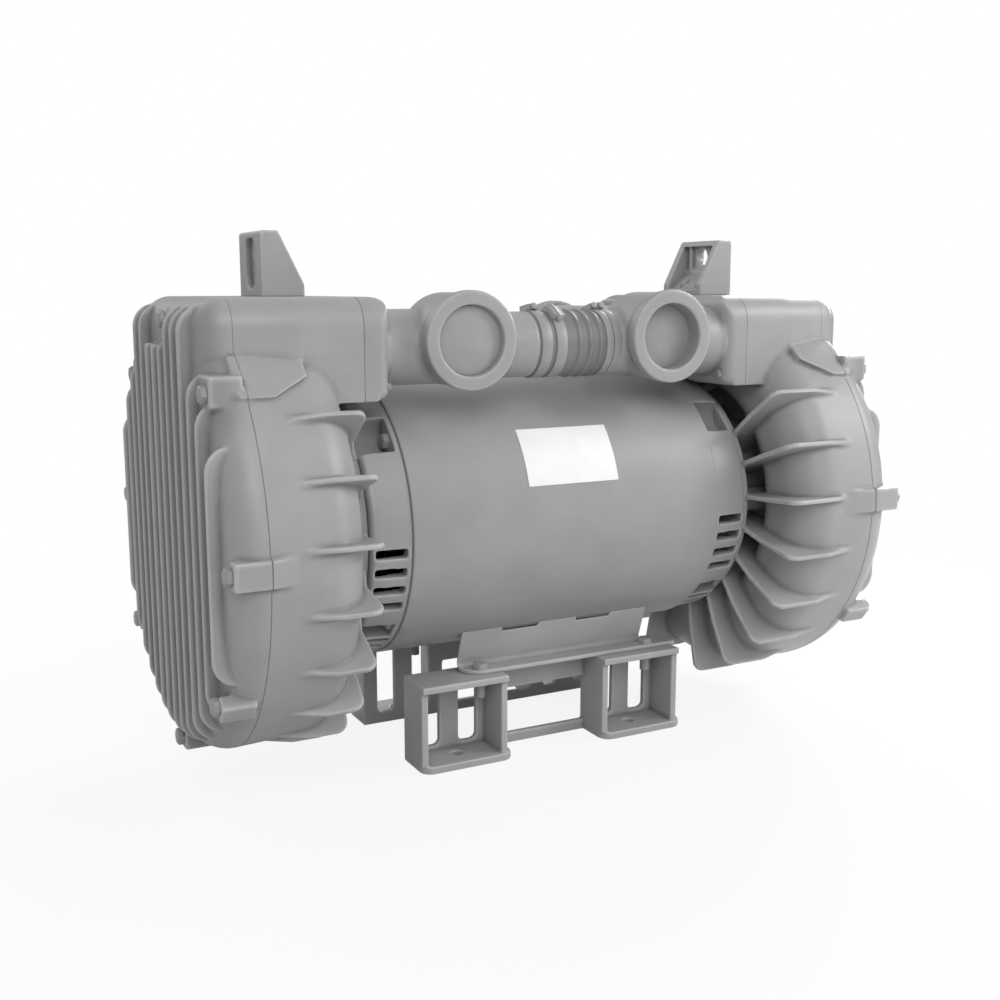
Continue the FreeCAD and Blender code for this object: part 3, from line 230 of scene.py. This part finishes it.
castPaint = paintFinish("greyPaintOnCasting", paintValues["castTone"], paintValues["castRoughness"], 0.16)
finPaint = paintFinish("greyPaintOnFinsPaintedShade", paintValues["castTone"], paintValues["castRoughness"], 0.16,
                       finned=True)
portPaint = paintFinish("greyPaintOnPorts", paintValues["portTone"], paintValues["castRoughness"], 0.12,
                        wearAndHighlight=paintValues["portWearAndHighlight"])
plugPaint = paintFinish("greyPaintOnPlugs", paintValues["plugTone"], paintValues["castRoughness"], 0.12)
bellPaint = paintFinish("greyPaintOnBells", paintValues["bellTone"], paintValues["sheetRoughness"], 0.1)
footPaint = paintFinish("greyPaintOnFeet", paintValues["footTone"], paintValues["sheetRoughness"], 0.07)
sheetPaint = paintFinish("greyPaintOnSteel", paintValues["sheetTone"], paintValues["sheetRoughness"], 0.07)
fastenerPaint = paintFinish("greyPaintOnFasteners", paintValues["fastenerTone"],
                            paintValues["fastenerRoughness"], 0.06)
turnedSteel = metalFinish("turnedSteel", (0.52, 0.52, 0.53, 1.0), 0.34, (1.0, 9.0, 9.0))
laminatedSteel = metalFinish("laminatedSteel", (0.16, 0.16, 0.17, 1.0), 0.5, (30.0, 1.0, 1.0), 60.0)
copperWire = metalFinish("varnishedCopper", (0.55, 0.2, 0.08, 1.0), 0.4, (1.0, 5.0, 5.0), 300.0)
castAluminium = metalFinish("castAluminium", (0.6, 0.6, 0.62, 1.0), 0.42, scale=420.0)
gasketSheet = softFinish("gasketSheet", 104, 0.8)
sealRubber = softFinish("sealRubber", 30, 0.6)
hoseRubber = softFinish("paintedHoseRubber", 112, 0.46, 300.0, 0.12)
fanPlastic = softFinish("fanPlastic", 34, 0.5)
print("finishes made")

castValues = {  # mergeGap in metres, sharpAngle in degrees
    "mergeGap": 0.000002, "levelPasses": 2, "step": 0.6, "convexShare": 0.22, "normalsEvery": 4,
    "edgePasses": 9, "edgeGain": 1.25, "sharpAngle": 58.0,
}


def mergedCopy(name):
    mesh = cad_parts[name].data.copy()
    work = bmesh.new()
    work.from_mesh(mesh)
    bmesh.ops.remove_doubles(work, verts=work.verts, dist=castValues["mergeGap"])
    work.to_mesh(mesh)
    work.free()
    return mesh


def linked(name, mesh):
    piece = bpy.data.objects.new(name, mesh)
    scene.collection.objects.link(piece)
    return piece


def evaluatedMesh(piece):
    graph = bpy.context.evaluated_depsgraph_get()
    mesh = bpy.data.meshes.new_from_object(piece.evaluated_get(graph))
    piece.modifiers.clear()
    return mesh


def neighbourMean(points, edges, counts):
    total = np.empty_like(points)
    size = len(points)
    for axis in range(points.shape[1]):
        total[:, axis] = (np.bincount(edges[:, 0], weights=points[edges[:, 1], axis], minlength=size)
                          + np.bincount(edges[:, 1], weights=points[edges[:, 0], axis], minlength=size))
    return total / counts


def meshPoints(mesh):
    points = np.empty(len(mesh.vertices) * 3, np.float32)
    mesh.vertices.foreach_get("co", points)
    return points.reshape(-1, 3).astype(np.float64)


def vertexNormals(mesh, points):
    mesh.vertices.foreach_set("co", points.astype(np.float32).ravel())
    mesh.update()
    normals = np.empty(len(points) * 3, np.float32)
    mesh.vertex_normals.foreach_get("vector", normals)
    return normals.reshape(-1, 3)


def softenMesh(mesh, passes, voxel):
    points = meshPoints(mesh)
    size = len(points)
    edges = np.empty(len(mesh.edges) * 2, np.int32)
    mesh.edges.foreach_get("vertices", edges)
    edges = edges.reshape(-1, 2)
    counts = np.maximum(np.bincount(edges.ravel(), minlength=size), 1).astype(float)[:, None]
    for index in range(castValues["levelPasses"]):  # takes the steps of the voxels off
        points += castValues["step"] * (neighbourMean(points, edges, counts) - points)
    for index in range(passes):  # inner corners fill like a cast fillet, outer edges keep more of their shape
        if index % castValues["normalsEvery"] == 0:
            normals = vertexNormals(mesh, points)
        move = neighbourMean(points, edges, counts) - points
        share = np.where(np.einsum("ij,ij->i", move, normals) > 0.0, 1.0, castValues["convexShare"])
        points += castValues["step"] * share[:, None] * move
    normals = vertexNormals(mesh, points)
    wide = points.copy()
    for index in range(castValues["edgePasses"]):
        wide = neighbourMean(wide, edges, counts)
    # the edge mark is above zero on raised edges, which the paints lighten, and below zero in hollows, which
    # they darken
    rise = np.einsum("ij,ij->i", points - wide, normals) / (voxel * mm)
    mark = mesh.attributes.new("edge", "FLOAT", "POINT")
    mark.data.foreach_set("value", np.clip(rise * castValues["edgeGain"], -1, 1).astype(np.float32))


def smoothShaded(mesh):
    mesh.polygons.foreach_set("use_smooth", [True] * len(mesh.polygons))


def finished(piece, finish, node):
    piece.data.materials.clear()
    piece.data.materials.append(finish)
    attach(piece, "blower_frame")
    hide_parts(node)


def voxelMesh(name, mesh, voxel):
    piece = linked(name, mesh)
    grid = piece.modifiers.new("voxels", "REMESH")
    grid.mode = "VOXEL"
    grid.voxel_size = voxel * mm
    mesh = evaluatedMesh(piece)
    bpy.data.objects.remove(piece)
    return mesh


def castPiece(name, mesh, finish, triangles):
    piece = linked(name + "_cast", mesh)
    faces = sum(len(face.vertices) - 2 for face in mesh.polygons)
    if faces > triangles:
        fewer = piece.modifiers.new("fewer", "DECIMATE")
        fewer.ratio = triangles / faces
        piece.data = evaluatedMesh(piece)
    smoothShaded(piece.data)
    piece.data.set_sharp_from_angle(angle=math.radians(castValues["sharpAngle"]))
    finished(piece, finish, name)
    print("cast", name, len(piece.data.polygons))


casingValues = {  # millimetres, and the most triangles of each piece
    "voxel": 1.45, "passes": 12, "overlap": 1.6, "endRadius": 12.0, "capSeam": 247.5, "capReach": 0.6,
    "seamHalf": 0.25, "capMargin": 0.1, "boxMargin": 1.0, "axisHeight": 283.5, "tipMargin": 0.5,
    "bossEnd": {"left": 351.0, "right": 333.0}, "bossLow": 242.0, "bossRun": 238.5,
    "channel_housing": 190000, "finned_cover": 195000, "manifold": 120000,
}


def joinedMesh(name, meshes):
    whole = bmesh.new()
    for mesh in meshes:
        whole.from_mesh(mesh)
    joined = bpy.data.meshes.new(name)
    whole.to_mesh(joined)
    whole.free()
    return joined


def stretchedCopy(name, beyond, sign):
    mesh = mergedCopy(name)  # its mating face moves into the next piece, so that the two melt together
    points = meshPoints(mesh)
    points[np.abs(points[:, 0]) > beyond, 0] += sign * casingValues["overlap"] * mm
    mesh.vertices.foreach_set("co", points.astype(np.float32).ravel())
    return mesh


def taperedBosses(mesh, end):
    points = meshPoints(mesh)  # each boss runs out onto the ring at its inner end
    middle = casingValues["axisHeight"] * mm
    radius = np.hypot(points[:, 1], points[:, 2] - middle)
    tips = np.abs(np.abs(points[:, 0]) - end * mm) < casingValues["tipMargin"] * mm
    tips &= radius > casingValues["bossLow"] * mm
    share = casingValues["bossRun"] * mm / radius[tips]
    points[tips, 1] *= share
    points[tips, 2] = middle + (points[tips, 2] - middle) * share
    mesh.vertices.foreach_set("co", points.astype(np.float32).ravel())
    return mesh


def cutMesh(name, mesh, places):
    work = bmesh.new()  # places: (x, which way the kept side lies)
    work.from_mesh(mesh)
    for x, keep in places:
        bmesh.ops.bisect_plane(work, geom=work.verts[:] + work.edges[:] + work.faces[:], plane_co=(x, 0, 0),
                               plane_no=(-keep, 0, 0), clear_outer=True)
        rim = [edge for edge in work.edges if edge.is_boundary]
        made = bmesh.ops.triangle_fill(work, use_beauty=True, edges=rim)
        for face in made["geom"]:
            if isinstance(face, bmesh.types.BMFace) and face.normal.x * keep > 0:
                face.normal_flip()
    part = bpy.data.meshes.new(name)
    work.to_mesh(part)
    work.free()
    return part


def roundCapEnd(mesh, sign):
    low, high = [np.array(corner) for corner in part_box("manifold_gaskets")]
    radius = casingValues["endRadius"] * mm
    margin = casingValues["boxMargin"] * mm
    points = meshPoints(mesh)
    capEnd = abs(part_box("outlet_gaskets")[1][0])
    inside = (points[:, 0] * sign > capEnd - casingValues["capMargin"] * mm) & (points[:, 2] > low[2] - margin)
    inside &= np.abs(points[:, 1]) < high[1] + margin
    cap = points[inside]
    nearest = cap.copy()
    nearest[:, 0] = sign * np.maximum(cap[:, 0] * sign, capEnd + radius)
    nearest[:, 1] = np.clip(cap[:, 1], -high[1] + radius, high[1] - radius)
    nearest[:, 2] = np.clip(cap[:, 2], low[2] + radius, high[2] - radius)
    away = cap - nearest
    reach = np.linalg.norm(away, axis=1)
    corner = (reach > radius) & (cap[:, 0] * sign < capEnd + radius)
    cap[corner] = nearest[corner] + away[corner] * (radius / reach[corner])[:, None]
    points[inside] = cap
    mesh.vertices.foreach_set("co", points.astype(np.float32).ravel())


def castSide(side, sign):
    seamLow, seamHigh = sorted(abs(corner[0]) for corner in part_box("cover_gasket_" + side))
    capSeam = casingValues["capSeam"] * mm
    gap = casingValues["seamHalf"] * mm
    housing = stretchedCopy("channel_housing_" + side, seamLow - gap, sign)
    whole = joinedMesh("casing_" + side, [
        taperedBosses(housing, casingValues["bossEnd"][side]), mergedCopy("finned_cover_" + side),
        stretchedCopy("manifold_" + side, capSeam - casingValues["capReach"] * mm, sign)])
    whole = voxelMesh("casing_" + side, whole, casingValues["voxel"])
    roundCapEnd(whole, sign)
    softenMesh(whole, casingValues["passes"], casingValues["voxel"])
    middle = (seamLow + seamHigh) / 2
    pieces = {
        "manifold": (portPaint, [(sign * (capSeam - gap), -sign)]),
        "channel_housing": (castPaint, [(sign * (capSeam + gap), sign), (sign * (middle - gap), -sign)]),
        "finned_cover": (finPaint, [(sign * (middle + gap), sign)]),
    }
    for kind, (paint, places) in pieces.items():
        name = kind + "_" + side
        castPiece(name, cutMesh(name, whole, places), paint, casingValues[kind])


softValues = {
    "end_bell": {"voxel": 1.3, "passes": 4, "most": 95000, "paint": bellPaint, "slot": "motor_paint"},
    "lifting_lug": {"voxel": 1.0, "passes": 14, "most": 30000, "paint": castPaint, "slot": "casting_paint"},
    "outlet_elbow": {"voxel": 1.6, "passes": 8, "most": 60000, "paint": castPaint, "slot": "casting_paint"},
    "stand": {"voxel": 1.2, "passes": 5, "most": 90000, "paint": footPaint, "slot": "stand_paint"},
    "motor_foot": {"voxel": 0.9, "passes": 3, "most": 40000, "paint": footPaint, "slot": "motor_paint"},
    "terminal_box": {"voxel": 1.5, "passes": 4, "most": 50000, "paint": castPaint, "slot": "motor_paint"},
}


def softCasting(kind, ending=""):
    values = softValues[kind]
    name = kind + ending
    mesh = voxelMesh(name, mergedCopy(name), values["voxel"])
    softenMesh(mesh, values["passes"], values["voxel"])
    castPiece(name, mesh, values["paint"], values["most"])


for side, sign in (("left", -1), ("right", 1)):
    castSide(side, sign)
    for kind in ("end_bell", "lifting_lug", "outlet_elbow"):
        softCasting(kind, "_" + side)
for end in ("front", "rear"):
    for kind in ("stand", "motor_foot"):
        softCasting(kind, "_" + end)
softCasting("terminal_box")
print("castings made")


turnedValues = {"sharpAngle": 28.0, "edgeReach": 0.9, "hoseEdgeReach": 1.6}


def latheMesh(name, profile, segments, centre):
    rings = len(profile)  # closed (x, radius) loop about a line along X through centre (y, z)
    turns = np.arange(segments) * 2 * math.pi / segments
    points = [(x, centre[0] - radius * math.cos(turn), centre[1] + radius * math.sin(turn))
              for turn in turns for x, radius in profile]
    faces = []
    for step in range(segments):
        here = step * rings
        there = ((step + 1) % segments) * rings
        for ring in range(rings):
            after = (ring + 1) % rings
            faces.append((here + ring, here + after, there + after, there + ring))
    mesh = bpy.data.meshes.new(name)
    mesh.from_pydata([Vector(point) * mm for point in points], [], faces)
    work = bmesh.new()
    work.from_mesh(mesh)
    bmesh.ops.recalc_face_normals(work, faces=work.faces)
    work.to_mesh(mesh)
    work.free()
    smoothShaded(mesh)
    mesh.set_sharp_from_angle(angle=math.radians(turnedValues["sharpAngle"]))
    return mesh


def edgeFromAngle(mesh, reach=turnedValues["edgeReach"]):
    work = bmesh.new()
    work.from_mesh(mesh)
    marks = []
    for vertex in work.verts:
        angles = [edge.calc_face_angle_signed(0.0) for edge in vertex.link_edges if len(edge.link_faces) == 2]
        marks.append(max(-1.0, min(1.0, max(angles, default=0.0) * reach)))
    work.free()
    mark = mesh.attributes.new("edge", "FLOAT", "POINT")
    mark.data.foreach_set("value", marks)


trimValues = {"flatAngle": 0.6, "cornerAngle": 38.0, "sharpAngle": 32.0, "segments": 2}


def rounded(piece, width, cornerAngle, sharpAngle):
    rounding = piece.modifiers.new("rounding", "BEVEL")
    rounding.width = width * mm
    rounding.segments = trimValues["segments"]
    rounding.limit_method = "ANGLE"
    rounding.angle_limit = math.radians(cornerAngle)
    piece.data = evaluatedMesh(piece)
    smoothShaded(piece.data)
    piece.data.set_sharp_from_angle(angle=math.radians(sharpAngle))
    edgeFromAngle(piece.data)


def bevelPiece(name, finish, width):
    piece = linked(name + "_trimmed", mergedCopy(name))
    work = bmesh.new()
    work.from_mesh(piece.data)
    bmesh.ops.dissolve_limit(work, angle_limit=math.radians(trimValues["flatAngle"]), verts=work.verts,
                             edges=work.edges)
    work.to_mesh(piece.data)
    work.free()
    rounded(piece, width, trimValues["cornerAngle"], trimValues["sharpAngle"])
    finished(piece, finish, name)


motorShell = {
    "radius": 160.0, "wall": 9.0, "half": 201.0, "axisHeight": 283.5, "segments": 224, "stations": 24,
    "chamfer": 1.2, "chamferStep": 0.35,
}


def shellProfile(values):
    outer, inner = values["radius"], values["radius"] - values["wall"]
    half, cut, count = values["half"], values["chamfer"], values["stations"]
    step = values["chamferStep"] * cut
    profile = [(-half, outer - cut), (-half + step, outer - step)]
    profile += [(-half + cut + (2 * half - 2 * cut) * index / count, outer) for index in range(count + 1)]
    profile += [(half - step, outer - step), (half, outer - cut)]
    return profile + [(half, inner), (-half, inner)]


shellMesh = latheMesh("motorShellBarrel", shellProfile(motorShell), motorShell["segments"],
                      (0.0, motorShell["axisHeight"]))
shell = linked("motorShellBarrel", shellMesh)
finished(shell, sheetPaint, "motor_shell")

hoseValues = {
    "inner": 33.1, "outer": 37.1, "start": -34.0, "end": 72.0, "lineY": -100.0, "lineZ": 486.0,
    "rings": (17.0, 31.0, 45.0), "ringHeight": 2.1, "ringHalf": 4.2, "ringPower": 0.6, "endDrop": 0.6,
    "steps": 150, "segments": 128,
}


def hoseProfile(values):
    def outerAt(x):
        swell = 0.0
        for middle in values["rings"]:
            reach = abs(x - middle) / values["ringHalf"]
            if reach < 1.0:
                crest = (0.5 + 0.5 * math.cos(math.pi * reach)) ** values["ringPower"]
                swell = max(swell, values["ringHeight"] * crest)
        return values["outer"] + swell

    start, end, count = values["start"], values["end"], values["steps"]
    line = [start + (end - start) * step / count for step in range(count + 1)]
    profile = [(x, outerAt(x)) for x in line]
    profile[0] = (start, values["outer"] - values["endDrop"])
    profile[-1] = (end, values["outer"] - values["endDrop"])
    return profile + [(end, values["inner"]), (start, values["inner"])]


hoseMesh = latheMesh("hoseSleeve", hoseProfile(hoseValues), hoseValues["segments"],
                     (hoseValues["lineY"], hoseValues["lineZ"]))
hose = linked("hoseSleeve", hoseMesh)
# the hose's ridges get the edge mark, which its rubber paint lightens as rubbing and a painted highlight
edgeFromAngle(hose.data, turnedValues["hoseEdgeReach"])
finished(hose, hoseRubber, "hose")
print("shell and hose made")


def islands(name):
    work = bmesh.new()
    work.from_mesh(mergedCopy(name))
    seen = set()
    boxes = []
    for vertex in work.verts:
        if vertex.index in seen:
            continue
        stack = [vertex]
        seen.add(vertex.index)
        found = []
        while stack:
            here = stack.pop()
            found.append(here.co)
            for edge in here.link_edges:
                other = edge.other_vert(here)
                if other.index not in seen:
                    seen.add(other.index)
                    stack.append(other)
        cloud = np.array(found)
        boxes.append((cloud.min(0), cloud.max(0)))
    work.free()
    return boxes


boltValues = {  # shares of the width across flats
    "headShare": 0.4, "crownShare": 0.09, "topShare": 0.82, "washerShare": 0.05, "washerRadius": 0.475,
    "sides": 32, "seed": 7, "rounding": 0.35, "cornerAngle": 25.0, "sharpAngle": 20.0,
}


def hexBoltTree(finish):
    tree = bpy.data.node_groups.new("hexBolts", "GeometryNodeTree")
    face = tree.interface
    face.new_socket("Geometry", in_out="INPUT", socket_type="NodeSocketGeometry")
    for label in ("Across", "Head Height", "Crown", "Shank Radius", "Shank Length"):
        face.new_socket(label, in_out="INPUT", socket_type="NodeSocketFloat")
    face.new_socket("Geometry", in_out="OUTPUT", socket_type="NodeSocketGeometry")
    g = NodeMaker(tree)
    start = g.node("NodeGroupInput")
    across, height, crown, radius, length = (g.out(start, label) for label in (
        "Across", "Head Height", "Crown", "Shank Radius", "Shank Length"))
    flatHeight = height - crown

    def upright(node, lift):
        move = g.out(g.node("ShaderNodeCombineXYZ", {}, {"Z": lift}))
        return g.node("GeometryNodeTransform", {}, {"Geometry": g.out(node, "Mesh"), "Translation": move})

    hexagon = g.node("GeometryNodeMeshCylinder", {"fill_type": "NGON"}, {
        "Vertices": 6, "Radius": across / math.sqrt(3), "Depth": flatHeight})
    prism = upright(hexagon, flatHeight * 0.5)
    crowned = g.node("GeometryNodeExtrudeMesh", {"mode": "FACES"}, {
        "Mesh": g.out(prism, 0), "Selection": g.out(hexagon, "Top"), "Offset Scale": crown})
    chamfered = g.node("GeometryNodeScaleElements", {"domain": "FACE"}, {
        "Geometry": g.out(crowned, "Mesh"), "Selection": g.out(crowned, "Top"),
        "Scale": boltValues["topShare"]})
    washer = g.node("GeometryNodeMeshCylinder", {"fill_type": "NGON"}, {
        "Vertices": boltValues["sides"], "Radius": across * boltValues["washerRadius"],
        "Depth": across * boltValues["washerShare"]})
    shank = g.node("GeometryNodeMeshCylinder", {"fill_type": "NGON"}, {
        "Vertices": boltValues["sides"], "Radius": radius, "Depth": length})
    joined = g.node("GeometryNodeJoinGeometry")
    raised = upright(washer, across * (boltValues["washerShare"] / 2))
    lowered = upright(shank, length * -0.5)
    for part in (chamfered, raised, lowered):
        tree.links.new(part.outputs[0], joined.inputs[0])
    turn = g.node("GeometryNodeInputNamedAttribute", {"data_type": "FLOAT_VECTOR"}, {"Name": "turn"})
    placed = g.node("GeometryNodeInstanceOnPoints", {}, {
        "Points": g.out(start, "Geometry"), "Instance": g.out(joined), "Rotation": g.out(turn, "Attribute")})
    real = g.node("GeometryNodeRealizeInstances", {}, {"Geometry": g.out(placed)})
    painted = g.node("GeometryNodeSetMaterial", {}, {"Geometry": g.out(real), "Material": finish})
    g.node("NodeGroupOutput", {}, {"Geometry": g.out(painted)})
    return tree


def outwards(centre):
    return Vector((math.copysign(1, centre[0]), 0, 0))


def inwards(centre):
    return Vector((-math.copysign(1, centre[0]), 0, 0))


def upwards(centre):
    return Vector((0, 0, 1))


boltTree = hexBoltTree(fastenerPaint)
boltGroups = {
    "cover_bolts_left": {"across": 17.0, "shank": 5.0, "headSide": outwards},
    "cover_bolts_right": {"across": 17.0, "shank": 5.0, "headSide": outwards},
    "foot_bolts": {"across": 17.0, "shank": 6.0, "headSide": upwards},
    "bell_bolts": {"across": 16.0, "shank": 5.0, "headSide": outwards},
    "manifold_bolts": {"across": 10.0, "shank": 3.0, "headSide": inwards},
    "outlet_bolts": {"across": 10.0, "shank": 3.0, "headSide": inwards},
}


def treeInputs(modifier, values):
    for item in modifier.node_group.interface.items_tree:
        if item.item_type == "SOCKET" and item.in_out == "INPUT" and item.name in values:
            modifier[item.identifier] = values[item.name]


def boltGroup(name, across, shankRadius, headSide, random):
    head = across * boltValues["headShare"] * mm
    places = []
    turns = []
    length = 0.0
    for low, high in islands(name):
        centre = (low + high) / 2
        side = headSide(centre)
        axis = int(np.argmax(np.abs(side)))
        length = max(length, high[axis] - low[axis] - head)
        seat = Vector(centre)
        seat[axis] = (high[axis] - head) if side[axis] > 0 else (low[axis] + head)
        places.append(seat)
        spin = Matrix.Rotation(random.uniform(0, math.pi / 3), 3, "Z")
        turns.append((side.to_track_quat("Z", "Y").to_matrix() @ spin).to_euler())
    mesh = bpy.data.meshes.new(name + "_points")
    mesh.from_pydata(places, [], [])
    mark = mesh.attributes.new("turn", "FLOAT_VECTOR", "POINT")
    mark.data.foreach_set("vector", [part for turn in turns for part in turn])
    piece = linked(name + "_hex", mesh)
    maker = piece.modifiers.new("bolts", "NODES")
    maker.node_group = boltTree
    treeInputs(maker, {
        "Across": across * mm, "Head Height": head, "Crown": across * boltValues["crownShare"] * mm,
        "Shank Radius": shankRadius * mm, "Shank Length": length})
    piece.data = evaluatedMesh(piece)
    rounded(piece, boltValues["rounding"], boltValues["cornerAngle"], boltValues["sharpAngle"])
    finished(piece, fastenerPaint, name)


random = np.random.default_rng(boltValues["seed"])
for name, values in boltGroups.items():
    boltGroup(name, values["across"], values["shank"], values["headSide"], random)
print("bolts made")

trimmedPieces = {
    "port_plug_left": {"paint": plugPaint, "slot": "casting_paint", "rounding": 0.8},
    "port_plug_right": {"paint": plugPaint, "slot": "casting_paint", "rounding": 0.8},
    "foot_nuts": {"paint": fastenerPaint, "slot": "painted_fastener", "rounding": 0.5},
    "lug_screws": {"paint": fastenerPaint, "slot": "painted_fastener", "rounding": 0.5},
    "terminal_box_cover": {"paint": sheetPaint, "slot": "motor_paint", "rounding": 1.2},
    "terminal_box_screws": {"paint": fastenerPaint, "slot": "painted_fastener", "rounding": 0.3},
    "hose_clamps": {"paint": fastenerPaint, "slot": "painted_fastener", "rounding": 0.35},
}
for name, values in trimmedPieces.items():
    bevelPiece(name, values["paint"], values["rounding"])
print("trimmed pieces made")

plateFinish = softFinish("blankPlate", 228, 0.32, 160.0, 0.03)
carriedFinishes = [
    (laminatedSteel, ["stator_core", "rotor_core"]),
    (copperWire, ["stator_windings"]),
    (castAluminium, ["rotor_cage", "impeller_left", "impeller_right"]),
    (turnedSteel, ["shaft", "housing_screws", "impeller_keys", "impeller_nuts", "impeller_washers",
                   "bearing_outer_race_left", "bearing_outer_race_right", "bearing_inner_race_left",
                   "bearing_inner_race_right", "ball_set_left", "ball_set_right"]),
    (gasketSheet, ["cover_gasket_left", "cover_gasket_right", "manifold_gaskets", "outlet_gaskets"]),
    (sealRubber, ["shaft_seal_left", "shaft_seal_right"]),
    (fanPlastic, ["cooling_fan_left", "cooling_fan_right"]),
    (plateFinish, ["rating_plate"]),
]
cadFinishes = {name: finish for finish, names in carriedFinishes for name in names}
for name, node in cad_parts.items():
    if node.hide_render:
        continue
    node.data.materials.clear()
    node.data.materials.append(cadFinishes.get(name, castPaint))
print("carried nodes painted")

lampValues = {
    "front": {"at": (-0.8, -2.5, 2.0), "size": 1.6, "power": 31.0},
    "side": {"at": (1.7, -1.1, 1.45), "size": 0.8, "power": 20.0},
    "low": {"at": (2.2, -1.8, 0.7), "size": 1.2, "power": 7.0},
    "rim": {"at": (2.0, 1.2, 1.2), "size": 1.0, "power": 74.0},
    "back": {"at": (-1.4, 2.2, 2.2), "size": 2.0, "power": 20.0},
}
lampAim = Vector((0.0, 0.0, 0.3))
for name, values in lampValues.items():
    lamp = bpy.data.lights.new(name + "Lamp", "AREA")
    lamp.energy = values["power"]
    lamp.shape = "SQUARE"
    lamp.size = values["size"]
    holder = bpy.data.objects.new(name + "Lamp", lamp)
    scene.collection.objects.link(holder)
    holder.location = values["at"]
    holder.rotation_euler = (lampAim - Vector(values["at"])).to_track_quat("-Z", "Y").to_euler()

skyValues = {"shown": 1.0, "lighting": 0.56}
world = bpy.data.worlds.new("studio")
scene.world = world
world.use_nodes = True
world.node_tree.nodes.clear()
sky = NodeMaker(world.node_tree)
path = sky.node("ShaderNodeLightPath")
seen = (sky.out(path, "Is Camera Ray") + sky.out(path, "Is Transmission Ray")).clamped()
level = seen * (skyValues["shown"] - skyValues["lighting"]) + skyValues["lighting"]
glow = sky.node("ShaderNodeBackground", {}, {"Color": (1.0, 1.0, 1.0, 1.0), "Strength": level})
sky.node("ShaderNodeOutputWorld", {}, {"Surface": sky.out(glow)})

floorValues = {
    "half": 14.0, "level": -0.0005, "tone": 0.68, "glow": 1.0,
    "nearShare": 0.88, "fadeStart": 0.5, "fadeEnd": 1.3,
}
floorFinish = Finish("paleFloor")
matt = floorFinish.node("ShaderNodeBsdfDiffuse", {}, {"Color": (floorValues["tone"],) * 3 + (1.0,)})
light = floorFinish.node("ShaderNodeEmission", {}, {
    "Color": (1.0, 1.0, 1.0, 1.0), "Strength": floorValues["glow"]})
path = floorFinish.node("ShaderNodeLightPath")
length = floorFinish.node("ShaderNodeVectorMath", {"operation": "LENGTH"}, {0: floorFinish.place()})
distance = floorFinish.out(length, "Value")
fade = ((distance - floorValues["fadeStart"]) / (floorValues["fadeEnd"] - floorValues["fadeStart"])).clamped()
share = fade * (1.0 - floorValues["nearShare"]) + floorValues["nearShare"]
share = share * floorFinish.out(path, "Is Camera Ray")
both = floorFinish.node("ShaderNodeMixShader", {}, {
    0: share, 1: floorFinish.out(matt), 2: floorFinish.out(light)})
floorFinish.surface(both)
half, low = floorValues["half"], floorValues["level"]
corners = [(-half, -half, low), (half, -half, low), (half, half, low), (-half, half, low)]
floorMesh = bpy.data.meshes.new("floor")
floorMesh.from_pydata(corners, [], [(0, 1, 2, 3)])
floor = linked("floor", floorMesh)
floor.data.materials.append(floorFinish.material)

cameraValues = {"at": (-0.7107, -1.3360, 0.5488), "tilt": 80.2, "turn": -27.52, "lens": 44.13, "sensor": 36.0}
eye = bpy.data.cameras.new("camera")
eye.lens = cameraValues["lens"]
eye.sensor_width = cameraValues["sensor"]
camera = bpy.data.objects.new("camera", eye)
scene.collection.objects.link(camera)
camera.location = cameraValues["at"]
camera.rotation_euler = (math.radians(cameraValues["tilt"]), 0.0, math.radians(cameraValues["turn"]))
scene.camera = camera
scene.view_settings.view_transform = "Standard"
print("stage set")
